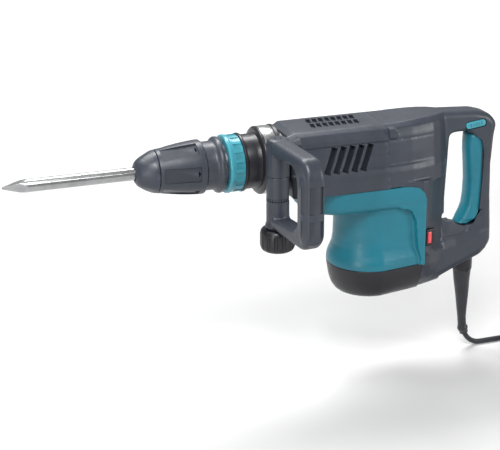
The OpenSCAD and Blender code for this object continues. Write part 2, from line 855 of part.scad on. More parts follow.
module trigger() {
    half_w = trigger_w / 2;
    color("teal") tool_frame() difference() {
        translate([0, half_w, 0]) rotate([90, 0, 0]) linear_extrude(trigger_w) polygon([
            [516, 11], [511, 9], [508.5, 4], [508, -18], [511, -42], [513, -65], [512.5, -89],
            [509.5, -104], [511, -112], [516, -115], [524, -112], [524, 4], [520, 10]]);
        mid_box(516.5, 530, half_w - 4, -100, -1);
        translate([trigger_pin_x, 20, trigger_pin_z]) rotate([90, 0, 0])
            translate([0, 0, -20]) cylinder(h = 60, r = 2 + fit);
    }
}

module trigger_pin() {
    color("silver") tool_frame() translate([trigger_pin_x, handle_w / 2 - 5, trigger_pin_z])
        rotate([90, 0, 0]) cylinder(h = handle_w - 10, r = 2);
}

module switch_block() {
    color("black") tool_frame() {
        mid_box(526.5, 532, 9, -84, -22);
        mid_box(532, grip_wall_x, 5, -84, -64);
    }
}

module lock_button() {
    color("teal") tool_frame() translate([515, 0, 25.5]) rotate([0, -6, 0]) hull()
        for (dx = [-11, 11])
            translate([dx, handle_w / 2 + 2.5, 0]) rotate([90, 0, 0]) cylinder(h = handle_w + 5, r = 4.6, $fn = 32);
}

module indicator_bezel() {
    color("black") tool_frame() difference() {
        box([416, -57.6, -140], [arm_x, -56, -118]);
        box([417, -58, -138], [420, -55, -120]);
    }
}

module indicator_lens() {
    color("red") tool_frame() box([417, -57.9, -138], [420, -56, -120]);
}

module circuit_board() {
    color("darkgreen") tool_frame() {
        mid_box(436, 438, 16, -150, -70);
        mid_box(438, 448, 12, -120, -100);
    }
}

// ---------------------------------------------------------------- cord

module cord_guard() {
    color("black") tool_frame() swept_tube(guard_line, guard_radii, 24, [0, 1, 0]);
}

module cord() {
    color("black") tool_frame() {
        swept_tube(cord_route, cord_d / 2, 8, [0, 1, 0]);
        swept_tube(tail_route, cord_d / 2, 8, [0, 0, 1]);
    }
}

module cord_coil() {
    color("black") tool_frame() translate([coil_x, coil_y, floor_z + coil_h / 2])
        rotate_extrude() translate([coil_r, 0]) square([coil_w, coil_h], center = true);
}

module cord_tie() {
    half = coil_w / 2;
    color("gray") tool_frame() translate([coil_x - coil_r, coil_y, floor_z]) difference() {
        mid_box(-half - 2, half + 2, 5, 0, coil_h + 1.5);
        mid_box(-half - 0.6, half + 0.6, 6, -1, coil_h);
    }
}

module plug() {
    color("black") tool_frame() translate([tail_x, plug_y, cord_z]) {
        bar([0, 0, 1.5], [0, -22, 3], 5.5, 7);
        translate([0, -22, 0]) rotate([90, 0, 0]) linear_extrude(34) hull()
            for (s = [-1, 1])
                translate([s * 11, 3]) circle(7, $fn = 32);
    }
}

module plug_pins() {
    color("silver") tool_frame() translate([tail_x, plug_y - 56, cord_z + 3])
        for (s = [-1, 1])
            translate([s * 9.3, 0, 0]) rotate([90, 0, 0]) cylinder(h = 19, r = 2.4);
}

chisel();
nose_cap();
release_cover();
lock_sleeve();
tool_holder();
locking_rollers();
release_spring();
spring_washer();
neck_collar();
change_ring();
detent_ring();
front_sleeve();
barrel();
barrel_screws();
handle_band();
grip_base();
side_handle();
handle_bolt();
clamp_nut();
impact_bolt();
bolt_retainer();
cylinder_tube();  // cylinder
striker();
striker_ring();
piston();
piston_ring();
connecting_rod();
wrist_pin();
crankshaft();
crank_gear();
crank_bearings();
crank_housing();
pinion();
armature();
commutator();
fan();
motor_bearings();
stator();
brush_holders();
carbon_brushes();
motor_housing();
base_cover();
base_screws();
housing_cover();
rear_housing();
grip_cover();
handle_screws();
trigger();
trigger_pin();
switch_block();  // switch
lock_button();
indicator_bezel();
indicator_lens();
circuit_board();
cord_guard();
cord();
cord_coil();
cord_tie();
plug();
plug_pins();
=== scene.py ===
"""Looks of the demolition hammer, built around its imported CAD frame.

Pieces are drawn in millimetres in the tool's own frame, X = 0 at the front of the chuck and Z = 0 on the
striking axis, and to_row() turns them into the row frame in metres.
"""
import json
import math

import bmesh
import bpy
from mathutils import Matrix, Vector


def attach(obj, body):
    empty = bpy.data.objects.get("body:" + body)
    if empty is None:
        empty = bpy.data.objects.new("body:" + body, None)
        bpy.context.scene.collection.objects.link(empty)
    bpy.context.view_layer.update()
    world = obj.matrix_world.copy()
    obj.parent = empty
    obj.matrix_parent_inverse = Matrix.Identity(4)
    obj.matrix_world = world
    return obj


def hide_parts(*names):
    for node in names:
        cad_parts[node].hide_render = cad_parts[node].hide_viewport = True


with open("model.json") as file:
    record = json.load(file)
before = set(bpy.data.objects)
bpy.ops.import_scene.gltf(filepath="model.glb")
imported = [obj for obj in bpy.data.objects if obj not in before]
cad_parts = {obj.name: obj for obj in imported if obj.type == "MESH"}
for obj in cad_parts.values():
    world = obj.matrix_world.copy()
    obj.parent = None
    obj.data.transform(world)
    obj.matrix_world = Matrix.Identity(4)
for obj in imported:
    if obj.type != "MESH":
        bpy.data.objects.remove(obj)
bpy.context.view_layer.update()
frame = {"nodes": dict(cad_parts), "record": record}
scene = bpy.context.scene

# The rear grip's centre, which is the row frame's origin, in the tool's own frame
GRIP = Vector((540, 0, -70))
TO_ROW = Matrix.Scale(0.001, 4) @ Matrix.Translation(-GRIP)


def to_row(x, y, z):
    """A point of the tool's own frame, in the row frame."""
    return TO_ROW @ Vector((x, y, z))


# ---------------------------------------------------------------- camera

VIEW_AZIMUTH = 19.72
VIEW_ELEVATION = 19.72
VIEW_ROLL = -0.27
VIEW_DISTANCE = 2.2345
VIEW_LENS = 112.07
VIEW_TARGET = to_row(169.64, 0, -96.45)


def make_camera():
    """A camera turned about its target, as the angles above say."""
    a, e, roll = (math.radians(v) for v in (VIEW_AZIMUTH, VIEW_ELEVATION, VIEW_ROLL))
    back = Vector((-math.sin(a) * math.cos(e), -math.cos(a) * math.cos(e), math.sin(e)))
    right = Vector((math.cos(a), -math.sin(a), 0))
    up = back.cross(right)
    rolled_right = right * math.cos(roll) + up * math.sin(roll)
    rolled_up = up * math.cos(roll) - right * math.sin(roll)
    data = bpy.data.cameras.new("camera")
    data.lens = VIEW_LENS
    data.sensor_width = 36
    data.clip_end = 50
    camera = bpy.data.objects.new("camera", data)
    turn = Matrix((rolled_right, rolled_up, back)).transposed().to_4x4()
    camera.matrix_world = Matrix.Translation(VIEW_TARGET + back * VIEW_DISTANCE) @ turn
    scene.collection.objects.link(camera)
    scene.camera = camera


make_camera()

# ---------------------------------------------------------------- materials

# The record's colours, with the visible slots set under this scene's lights
SLOT_COLOURS = {m["slot"]: m["base_color"] for m in frame["record"]["materials"]}
SLOT_COLOURS.update(
    body_plastic=(0.026, 0.031, 0.042), black_plastic=(0.009, 0.009, 0.012),
    teal_plastic=(0.006, 0.120, 0.165), ring_plastic=(0.035, 0.215, 0.270),
    grip_rubber=(0.022, 0.025, 0.033), cord_rubber=(0.012, 0.013, 0.018),
    steel=(0.36, 0.37, 0.37), bright_steel=(0.50, 0.50, 0.50))


class Nodes:
    """A material's node tree with short calls for what the materials share."""

    def __init__(self, name):
        self.material = bpy.data.materials.new(name)
        self.material.use_nodes = True
        self.tree = self.material.node_tree
        self.shader = self.tree.nodes["Principled BSDF"]
        self.place = self.node("ShaderNodeTexCoord").outputs["Object"]

    def node(self, kind, **values):
        made = self.tree.nodes.new(kind)
        for key, value in values.items():
            setattr(made, key, value)
        return made

    def link(self, source, target):
        self.tree.links.new(source, target)

    def set(self, **values):
        """Sets the shader's own sockets, named with _ for a space."""
        for key, value in values.items():
            self.shader.inputs[key.replace("_", " ")].default_value = value

    def noise(self, size_mm, stretch=(1, 1, 1), detail=3, rough=0.55):
        """Noise whose features are about size_mm across, longer along an axis with a low stretch."""
        mapping = self.node("ShaderNodeMapping")
        mapping.inputs["Scale"].default_value = stretch
        self.link(self.place, mapping.inputs["Vector"])
        noise = self.node("ShaderNodeTexNoise")
        noise.inputs["Scale"].default_value = 1000 / size_mm
        noise.inputs["Detail"].default_value = detail
        noise.inputs["Roughness"].default_value = rough
        self.link(mapping.outputs["Vector"], noise.inputs["Vector"])
        return noise.outputs["Fac"]

    def ramp(self, source, low, high, start=0.0, end=1.0):
        """Maps source from low..high to start..end."""
        step = self.node("ShaderNodeMapRange")
        step.inputs["From Min"].default_value = low
        step.inputs["From Max"].default_value = high
        step.inputs["To Min"].default_value = start
        step.inputs["To Max"].default_value = end
        self.link(source, step.inputs["Value"])
        return step.outputs["Result"]

    def times(self, a, b):
        product = self.node("ShaderNodeMath", operation="MULTIPLY")
        self.link(a, product.inputs[0])
        self.link(b, product.inputs[1])
        return product.outputs["Value"]

    def mix(self, amount, first, second):
        """A colour between two, which are colours or sockets."""
        mixed = self.node("ShaderNodeMix", data_type="RGBA")
        self.link(amount, mixed.inputs["Factor"])
        for value, socket in ((first, mixed.inputs[6]), (second, mixed.inputs[7])):
            if isinstance(value, bpy.types.NodeSocket):
                self.link(value, socket)
            else:
                socket.default_value = (*value, 1)
        return mixed.outputs[2]

    def bump(self, source, strength, depth_mm, under=None):
        """A bumped normal, on top of another one if given."""
        bump = self.node("ShaderNodeBump")
        bump.inputs["Strength"].default_value = strength
        bump.inputs["Distance"].default_value = depth_mm / 1000
        self.link(source, bump.inputs["Height"])
        if under:
            self.link(under, bump.inputs["Normal"])
        return bump.outputs["Normal"]

    def edges(self, low=0.515, high=0.56):
        """High on worn convex edges, broken up by noise."""
        sharp = self.ramp(self.node("ShaderNodeNewGeometry").outputs["Pointiness"], low, high)
        return self.times(sharp, self.ramp(self.noise(6), 0.4, 0.65))

    def crease_shade(self):
        """High in concave creases, where the colour gets painted shade."""
        return self.ramp(self.node("ShaderNodeNewGeometry").outputs["Pointiness"], 0.49, 0.44)


def scaled(colour, factor):
    """A lighter or darker colour of the same hue."""
    return tuple(min(1.0, c * factor) for c in colour[:3])


def plastic(name, rough, grain=0.5, grain_mm=0.55, mottle=0.12, wear=1.9, coat=0.0):
    """Moulded plastic: fine spark-eroded grain, faint flow mottling, paler rubbed edges, painted shade in
    creases.
    """
    base = SLOT_COLOURS[name]
    n = Nodes(name)
    patches = n.ramp(n.noise(35, detail=4), 0.3, 0.7)
    mottled = n.mix(patches, scaled(base, 1 - mottle), scaled(base, 1 + mottle))
    worn = n.mix(n.ramp(n.edges(), 0, 1, 0, 0.55), mottled, scaled(base, wear))
    # painted shade: the colour is darkened in concave creases, where light falls off
    crease_shaded = n.mix(n.ramp(n.crease_shade(), 0, 1, 0, 0.35), worn, scaled(base, 0.45))
    n.link(crease_shaded, n.shader.inputs["Base Color"])
    n.link(n.ramp(n.noise(9, detail=5), 0.3, 0.7, rough - 0.05, rough + 0.06), n.shader.inputs["Roughness"])
    soft = n.bump(n.noise(14, detail=2), 0.05, 0.3)
    n.link(n.bump(n.noise(grain_mm, detail=2), grain, 0.05, soft), n.shader.inputs["Normal"])
    n.set(Specular_IOR_Level=0.4, Coat_Weight=coat, Coat_Roughness=0.2)
    return n.material


def rubber(name, rough=0.62):
    """Soft rubber: a matt sheen, fine pitting and scuffs."""
    base = SLOT_COLOURS[name]
    n = Nodes(name)
    mottled = n.mix(n.ramp(n.noise(18, detail=5), 0.3, 0.7), scaled(base, 0.8), scaled(base, 1.25))
    scuffed = n.mix(n.ramp(n.edges(0.51, 0.58), 0, 1, 0, 0.5), mottled, scaled(base, 2.2))
    n.link(scuffed, n.shader.inputs["Base Color"])
    n.link(n.ramp(n.noise(5, detail=4), 0.3, 0.7, rough - 0.08, rough + 0.08), n.shader.inputs["Roughness"])
    n.link(n.bump(n.noise(0.8, detail=3), 0.35, 0.06), n.shader.inputs["Normal"])
    n.set(Sheen_Weight=0.15, Sheen_Roughness=0.5, Specular_IOR_Level=0.4)
    return n.material


def metal(name, rough, stretch=(0.06, 1, 1), line_mm=0.5, stain=0.12, depth=0.02, cast=0.0):
    """Machined metal: fine tool lines along X, faint staining, brighter rubbed edges."""
    base = SLOT_COLOURS[name]
    n = Nodes(name)
    patches = n.ramp(n.noise(22, detail=5), 0.35, 0.7)
    stained = n.mix(patches, scaled(base, 1 - stain), scaled(base, 1 + stain / 2))
    rubbed = n.mix(n.ramp(n.edges(0.51, 0.56), 0, 1, 0, 0.6), stained, scaled(base, 1.35))
    n.link(rubbed, n.shader.inputs["Base Color"])
    lines = n.noise(line_mm, stretch, detail=3)
    n.link(n.ramp(lines, 0.3, 0.7, rough - 0.06, rough + 0.08), n.shader.inputs["Roughness"])
    grain = n.bump(lines, 0.25, depth)
    if cast:
        grain = n.bump(n.noise(1.6, detail=4), 0.5, cast, grain)
    n.link(grain, n.shader.inputs["Normal"])
    n.set(Metallic=1.0)
    return n.material


def lamination(name):
    """A stack of varnished steel sheets, one line per sheet up the motor's axis."""
    base = SLOT_COLOURS[name]
    n = Nodes(name)
    sheets = n.noise(0.9, (0.02, 0.02, 1), detail=1)
    lined = n.mix(n.ramp(sheets, 0.4, 0.6), scaled(base, 0.6), scaled(base, 1.5))
    n.link(lined, n.shader.inputs["Base Color"])
    n.link(n.ramp(n.noise(4), 0.3, 0.7, 0.35, 0.55), n.shader.inputs["Roughness"])
    n.link(n.bump(sheets, 0.6, 0.15), n.shader.inputs["Normal"])
    n.set(Metallic=0.6)
    return n.material


def lens(name):
    """Moulded clear red plastic with a slight cloud inside, and a faint painted red glow."""
    base = SLOT_COLOURS[name]
    n = Nodes(name)
    n.link(n.mix(n.ramp(n.noise(5, detail=4), 0.3, 0.7), scaled(base, 0.75), scaled(base, 1.2)),
           n.shader.inputs["Base Color"])
    n.link(n.ramp(n.noise(2), 0.3, 0.7, 0.12, 0.22), n.shader.inputs["Roughness"])
    n.link(n.bump(n.noise(1.5), 0.15, 0.05), n.shader.inputs["Normal"])
    n.set(Coat_Weight=0.6, Coat_Roughness=0.08, Subsurface_Weight=0.15)
    # a faint painted glow: the unlit lens is made to give off a little red light
    n.shader.inputs["Emission Color"].default_value = (0.9, 0.05, 0.06, 1)
    n.shader.inputs["Emission Strength"].default_value = 0.08
    return n.material


MATERIALS = {
    "body_plastic": plastic("body_plastic", 0.37, grain=0.3),
    "black_plastic": plastic("black_plastic", 0.34, grain=0.3),
    "teal_plastic": plastic("teal_plastic", 0.36, grain=0.25, mottle=0.07, wear=1.5),
    "ring_plastic": plastic("ring_plastic", 0.34, grain=0.25, mottle=0.08, wear=1.35, coat=0.15),
    "grip_rubber": rubber("grip_rubber", 0.5),
    "cord_rubber": rubber("cord_rubber", 0.5),
    "steel": metal("steel", 0.3),
    "bright_steel": metal("bright_steel", 0.16, stretch=(1, 0.05, 0.05), line_mm=0.7, stain=0.05),
    "dark_steel": metal("dark_steel", 0.4, stain=0.2),
    "cast_alloy": metal("cast_alloy", 0.42, stain=0.1, cast=0.15),
    "lamination": lamination("lamination"),
    "copper": metal("copper", 0.28, stretch=(1, 1, 0.06)),
    "carbon": rubber("carbon", 0.5),
    "red_lens": lens("red_lens"),
    "board_green": plastic("board_green", 0.3, grain=0.1, mottle=0.15, coat=0.4),
}


def dress_cad_nodes():
    """Every CAD node gets its slot's material, and small rounded edges."""
    for row in frame["record"]["subparts"]:
        node = frame["nodes"][row["node"]]
        node.data.materials.clear()
        node.data.materials.append(MATERIALS[row["material_slot"]])
        weld = node.modifiers.new("weld", "WELD")
        weld.merge_threshold = 0.00001
        soften = node.modifiers.new("soften", "BEVEL")
        soften.width = 0.0004
        soften.segments = 2
        soften.limit_method = "ANGLE"
        soften.angle_limit = math.radians(35)


dress_cad_nodes()

# ---------------------------------------------------------------- mesh helpers


def joined(shapes):
    """One bmesh of several."""
    whole = bmesh.new()
    for shape in shapes:
        mesh = bpy.data.meshes.new("part")
        shape.to_mesh(mesh)
        shape.free()
        whole.from_mesh(mesh)
        bpy.data.meshes.remove(mesh)
    return whole


def as_object(name, shape):
    """A bmesh made into an object, with its normals facing out."""
    mesh = bpy.data.meshes.new(name)
    bmesh.ops.recalc_face_normals(shape, faces=shape.faces[:])
    shape.to_mesh(mesh)
    shape.free()
    made = bpy.data.objects.new(name, mesh)
    scene.collection.objects.link(made)
    return made


def settle(piece):
    """Applies a piece's modifiers."""
    graph = bpy.context.evaluated_depsgraph_get()
    mesh = bpy.data.meshes.new_from_object(piece.evaluated_get(graph))
    old = piece.data
    piece.modifiers.clear()
    piece.data = mesh
    bpy.data.meshes.remove(old)
    return piece


def as_shape(piece):
    """The bmesh of a piece, whose object is then removed."""
    shape = bmesh.new()
    shape.from_mesh(piece.data)
    bpy.data.objects.remove(piece)
    return shape


def placed(shape, matrix):
    """A shape moved by a matrix."""
    bmesh.ops.transform(shape, matrix=matrix, verts=shape.verts[:])
    return shape


def cut(piece, shapes, operation="DIFFERENCE"):
    """Takes shapes, which don't overlap each other, out of a piece, or keeps only what is inside them."""
    tool = as_object("tool", joined(shapes))
    away = piece.modifiers.new("cut", "BOOLEAN")
    away.operation = operation
    away.solver = "EXACT"
    away.object = tool
    settle(piece)
    bpy.data.objects.remove(tool)
    return piece


def moulded(name, shapes, voxel=1.5, passes=4):
    """Shapes run together into one skin with small fillets where they meet."""
    piece = as_object(name, joined(shapes))
    skin = piece.modifiers.new("skin", "REMESH")
    skin.mode = "VOXEL"
    skin.voxel_size = voxel
    soft = piece.modifiers.new("soft", "SMOOTH")
    soft.factor = 0.5
    soft.iterations = passes
    return settle(piece)


def shade(piece, angle=32):
    """Smooth shading with the edges above this angle kept sharp."""
    shape = bmesh.new()
    shape.from_mesh(piece.data)
    for face in shape.faces:
        face.smooth = True
    limit = math.radians(angle)
    for edge in shape.edges:
        edge.smooth = len(edge.link_faces) == 2 and edge.calc_face_angle(0) < limit
    shape.to_mesh(piece.data)
    shape.free()


def piece_of(piece, slot, body, *nodes, angle=32):
    """Places a finished piece in the row frame, and says what it is made of, rides on and stands for."""
    piece.data.transform(TO_ROW)
    shade(piece, angle)
    piece.data.materials.clear()
    piece.data.materials.append(MATERIALS[slot])
    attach(piece, body)
    if nodes:
        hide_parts(*nodes)
    return piece


def loft(rings, closed=False):
    """A skin through rings of points, which all have the same count; its ends are capped unless closed."""
    shape = bmesh.new()
    made = [[shape.verts.new(p) for p in ring] for ring in rings]
    count = len(rings[0])
    pairs = list(zip(made, made[1:])) + ([(made[-1], made[0])] if closed else [])
    for a, b in pairs:
        for k in range(count):
            shape.faces.new((a[k], a[(k + 1) % count], b[(k + 1) % count], b[k]))
    if not closed:
        shape.faces.new(made[0])
        shape.faces.new(made[-1])
    return shape


def wheel_point(along, r, angle, axis, centre):
    """The point at a radius and an angle round the X or Z axis through centre."""
    u, v = r * math.cos(angle), r * math.sin(angle)
    local = (along, u, v) if axis == "x" else (u, v, along)
    return Vector(local) + Vector(centre)


def lathe(outline, segments=128, axis="x", centre=(0, 0, 0)):
    """A solid of revolution from (place along the axis, radius) points, closed where the radius is 0."""
    angles = [2 * math.pi * k / segments for k in range(segments)]
    return loft([[wheel_point(along, max(r, 0.01), a, axis, centre) for a in angles] for along, r in outline])


def ring(outline, segments=128, axis="x", centre=(0, 0, 0)):
    """A ring of revolution: its outline of (place along the axis, radius) points closes on itself."""
    shape = bmesh.new()
    profile = []
    for k in range(segments):
        a = 2 * math.pi * k / segments
        profile.append([shape.verts.new(wheel_point(along, r, a, axis, centre)) for along, r in outline])
    n = len(outline)
    for k in range(segments):
        a, b = profile[k], profile[(k + 1) % segments]
        for i in range(n):
            shape.faces.new((a[i], a[(i + 1) % n], b[(i + 1) % n], b[i]))
    return shape


def block(low, high, turn=None):
    """A box between two corners, turned about its centre."""
    low, high = Vector(low), Vector(high)
    middle, half = (low + high) / 2, (high - low) / 2
    shape = bmesh.new()
    bmesh.ops.create_cube(shape, size=2)
    place = Matrix.Translation(middle) @ (turn or Matrix.Identity(4)) @ Matrix.Diagonal((*half, 1))
    return placed(shape, place)


def round_copies(shape, count, axis, start=0.0, centre=(0, 0, 0)):
    """Copies of a shape evenly round an axis through centre, the first one start steps round."""
    copies = []
    for i in range(count):
        spin = Matrix.Rotation(2 * math.pi * (i + start) / count, 4, axis)
        copies.append(placed(shape.copy(), Matrix.Translation(centre) @ spin))
    shape.free()
    return copies


def rounded(corners, steps=5):
    """A closed outline from (u, v, radius) corners, each turned into a curve."""
    out = []
    n = len(corners)
    for i, (u, v, r) in enumerate(corners):
        here = Vector((u, v))
        before = Vector(corners[i - 1][:2]) - here
        after = Vector(corners[(i + 1) % n][:2]) - here
        angle = before.angle(after)
        reach = r / max(math.tan(angle / 2), 0.05)
        reach = min(reach, 0.48 * before.length, 0.48 * after.length)
        start, end = here + before.normalized() * reach, here + after.normalized() * reach
        for k in range(steps + 1):
            t = k / steps
            out.append(start * (1 - t) ** 2 + here * (2 * t * (1 - t)) + end * t ** 2)
    return out


def grown(outline, d):
    """An outline moved outwards by d, or inwards where d is negative."""
    n = len(outline)
    following = outline[1:] + outline[:1]
    area = sum(p.x * q.y - q.x * p.y for p, q in zip(outline, following))
    side = 1 if area > 0 else -1
    out = []
    for i, p in enumerate(outline):
        along = outline[(i + 1) % n] - outline[i - 1]
        along = along.normalized() if along.length > 1e-9 else Vector((1, 0))
        out.append(p + Vector((along.y, -along.x)) * side * d)
    return out


def distinct(outline):
    """An outline without the points that sit on the one before."""
    return [p for i, p in enumerate(outline) if (p - outline[i - 1]).length > 0.02]


def both_sides(half):
    """All corners of a section that mirrors in Y, from the (y, z, radius) corners of its right half."""
    return [(-y, z, r) for y, z, r in half] + [(y, z, r) for y, z, r in reversed(half)]


def across(outline, x):
    """Outline points (y, z) at a given x."""
    return [Vector((x, p.x, p.y)) for p in outline]


def on_side(outline, y):
    """Outline points (x, z) at a given y."""
    return [Vector((p.x, y, p.y)) for p in outline]


def on_top(outline, z):
    """Outline points (x, y) at a given height."""
    return [Vector((p.x, p.y, z)) for p in outline]


def pillow(outline, half, rim, put=on_side, steps=6, middle=0.0):
    """A slab from an outline, its rims rounded over."""
    outline = distinct(outline)
    rings = []
    for s in (-1, 1):
        for k in range(steps + 1):
            a = math.pi / 2 * (k if s > 0 else steps - k) / steps
            inset = rim * (1 - math.cos(a))
            rings.append(put(grown(outline, -inset), middle + s * (half - rim + rim * math.sin(a))))
    return loft(rings)


def opening(outline, half, rim, steps=6):
    """What a hole with rounded rims takes out of an upright slab about the middle plane."""
    outline = distinct(outline)
    flare = []
    for k in range(steps + 1):
        a = math.pi / 2 * k / steps
        flare.append((half - rim + rim * math.sin(a), grown(outline, rim * (1 - math.cos(a)))))
    flare.append((half + 5, grown(outline, rim)))
    near = [on_side(widened, -y) for y, widened in reversed(flare)]
    return loft(near + [on_side(widened, y) for y, widened in flare])


def prism(outline, low, high):
    """A straight-sided upright slab from an outline."""
    return loft([on_side(outline, low), on_side(outline, high)])


def smooth_path(points, spacing):
    """Points at an even spacing on a curve through the given ones."""
    out = []
    n = len(points)
    for i in range(n - 1):
        p0, p1 = points[max(i - 1, 0)], points[i]
        p2, p3 = points[i + 1], points[min(i + 2, n - 1)]
        steps = max(1, round((p2 - p1).length / spacing))
        for k in range(steps):
            t = k / steps
            out.append(0.5 * ((2 * p1) + (p2 - p0) * t + (2 * p0 - 5 * p1 + 4 * p2 - p3) * t ** 2
                              + (3 * p1 - p0 - 3 * p2 + p3) * t ** 3))
    out.append(points[-1])
    return out


def tube(path, radii, sides):
    """A round tube along a path that stays in one upright plane along X."""
    side_ways = Vector((0, 1, 0))
    angles = [2 * math.pi * k / sides for k in range(sides)]
    rings = []
    for i, p in enumerate(path):
        along = (path[min(i + 1, len(path) - 1)] - path[max(i - 1, 0)]).normalized()
        outward = along.cross(side_ways).normalized()
        rings.append([p + radii[i] * (math.cos(a) * outward + math.sin(a) * side_ways) for a in angles])
    return loft(rings)


def screw_head(name, place, facing, radius, slot, body, *nodes):
    """A domed screw head with a hexagon socket, turned from Z by facing."""
    dome = [(-1.5, radius), (0.3, radius), (1.0, radius * 0.93), (1.4, radius * 0.75), (1.5, 0)]
    head = lathe(dome, 40, "z")
    socket = lathe([(0.2, radius * 0.5), (3, radius * 0.5)], 6, "z")
    piece = cut(as_object(name, head), [socket])
    piece.data.transform(Matrix.Translation(place) @ facing)
    return piece_of(piece, slot, body, *nodes)


# ---------------------------------------------------------------- cord

CORD_D = 0.008
# The surface that the cord lies on, in the tool's own frame and in the row frame
FLOOR_LEVEL = -341
FLOOR_Z = to_row(0, 0, FLOOR_LEVEL).z
COIL_CENTRE = to_row(648, -66, -337)
COIL_R = 0.054
LAYER_RISE = 0.007
COIL_COLUMNS = 4
COIL_TURNS = 14
TURN_POINTS = 16
# The middle of the round socket that the guard comes out of
SOCKET_X = 513.3
ROUTE = [
    to_row(*p) for p in (
        (522, 0, -317), (526, 0, -324), (531, 0, -329.5), (537.5, 0, -334), (545, 0, -336.5), (552, 0, -337),
        (560, 0, -337), (568, 0, -337), (579, 0, -337), (590, 0, -337), (602, 0, -337), (614, 0, -337),
        (627, 0, -337), (640, 0, -337))]
TAIL = [
    to_row(*p) for p in (
        (714, -72, -316), (714, -80, -316), (714, -92, -317.5), (714, -106, -323), (714, -120, -330.5),
        (714, -134, -335.5), (714, -147, -337), (714, -160, -337))]


def coil_points():
    """The turns, outermost first, each layer wound back across the one below."""
    columns = [COIL_R + (1.5 - i) * CORD_D for i in range(COIL_COLUMNS)]
    order = []
    for layer in range(COIL_COLUMNS):
        row = columns if layer % 2 == 0 else columns[::-1]
        order += [(r, layer * LAYER_RISE) for r in row]
    order = order[:COIL_TURNS] + [(columns[0], 3 * LAYER_RISE)]
    last = COIL_TURNS * TURN_POINTS + TURN_POINTS // 4
    out = []
    for k in range(1, last):
        turn, part = divmod(k, TURN_POINTS)
        # a turn steps across to the next one over its last quarter
        move = max(0.0, (part / TURN_POINTS - 0.75) * 4)
        (r0, z0), (r1, z1) = order[min(turn, COIL_TURNS)], order[min(turn + 1, COIL_TURNS)]
        r, z = r0 + (r1 - r0) * move, z0 + (z1 - z0) * move
        a = math.pi / 2 - 2 * math.pi * k / TURN_POINTS
        out.append(COIL_CENTRE + Vector((r * math.cos(a), r * math.sin(a), z)))
    return out


def make_cord():
    """The whole cord on one curve: the stretch along the surface, the coil, and the tail to the plug."""
    curve = bpy.data.curves.new("mains_cord", "CURVE")
    curve.dimensions = "3D"
    curve.bevel_depth = CORD_D / 2
    curve.bevel_resolution = 5
    curve.resolution_u = 6
    curve.use_fill_caps = True
    points = ROUTE + coil_points() + TAIL
    spline = curve.splines.new("BEZIER")
    spline.bezier_points.add(len(points) - 1)
    for knot, p in zip(spline.bezier_points, points):
        knot.co = p
        knot.handle_left_type = knot.handle_right_type = "AUTO"
    cord = bpy.data.objects.new("mains_cord", curve)
    scene.collection.objects.link(cord)
    curve.materials.append(MATERIALS["cord_rubber"])
    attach(cord, "tool_body")
    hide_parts("cord", "cord_coil")
    return cord


def make_cord_tie():
    """A flat strap round one side of the coil, with a buckle on its top."""
    half, height = 17.0, 30.6
    path = rounded([(-half, 0.4, 4), (half, 0.4, 4), (half, height, 6), (-half, height, 6)], 6)
    centre = Vector((594, -66, FLOOR_LEVEL))
    rings = []
    for inset, y in ((0, -5), (0, 5), (-1.2, 5), (-1.2, -5)):
        outline = grown(path, inset)
        rings.append([centre + Vector((p.x, y, p.y)) for p in outline])
    strap = loft(rings, closed=True)
    buckle = pillow(rounded([(-5, -7, 2), (5, -7, 2), (5, 7, 2), (-5, 7, 2)], 3), 1.4, 0.8, on_top, 3,
                    centre.z + height + 0.2)
    bmesh.ops.translate(buckle, verts=buckle.verts[:], vec=(centre.x, centre.y, 0))
    return piece_of(as_object("coil_tie", joined([strap, buckle])), "black_plastic", "tool_body", "cord_tie")


def make_plug():
    """A moulded two-pin plug with a ribbed neck."""
    x, y, z = 714, -160, -337
    rings = []
    for dy, half_w, half_h, rise in (
            (0, 5, 4.6, 1.2), (-2, 5.6, 5.0, 1.6), (-3, 5.0, 4.6, 1.6), (-6, 5.9, 5.2, 1.9),
            (-7, 5.2, 4.8, 1.9), (-10, 6.4, 5.6, 2.2), (-11, 5.6, 5.0, 2.2), (-15, 7.2, 6.2, 2.7),
            (-22, 9.5, 6.7, 3),
            (-28, 13.5, 6.9, 3), (-34, 16.6, 6.9, 3), (-42, 17.8, 6.9, 3), (-53, 17.8, 6.9, 3),
            (-55.4, 17, 6.2, 3), (-56, 16, 5.4, 3)):
        row = []
        for k in range(40):
            a = 2 * math.pi * k / 40
            c, s = math.cos(a), math.sin(a)
            row.append(Vector((x + half_w * math.copysign(abs(c) ** 0.75, c), y + dy,
                               z + rise + half_h * math.copysign(abs(s) ** 0.75, s))))
        rings.append(row)
    return piece_of(as_object("plug_body", loft(rings)), "cord_rubber", "tool_body", "plug", angle=50)


def make_cord_guard():
    """The socket under the rear arm, and the long tapering sleeve with a bulb near its end."""
    line = [Vector(p) for p in (
        (513.5, 0, -206), (513.8, 0, -226), (515, 0, -246), (515.7, 0, -265), (516.5, 0, -284),
        (518, 0, -303), (519.5, 0, -309.5), (522, 0, -317))]
    path = smooth_path(line, 1.0)
    radii = []
    for p in path:
        down = -206 - p.z
        r = 14.2 - 7.6 * min(1.0, down / 84)
        bulb = 1.7 * math.exp(-((down - 103) / 3.2) ** 2)
        radii.append(r + bulb)
    sleeve = as_object("guard_sleeve", tube(path, radii, 40))
    socket = lathe([(-182, 15.2), (-206.5, 15.2), (-209.5, 14.6), (-211, 13.2)], 64, "z", (SOCKET_X, 0, 0))
    piece_of(as_object("guard_socket", socket), "black_plastic", "tool_body")
    piece_of(sleeve, "cord_rubber", "tool_body", "cord_guard")


cord = make_cord()
coil_tie = make_cord_tie()
plug = make_plug()
make_cord_guard()

# ---------------------------------------------------------------- floor and light


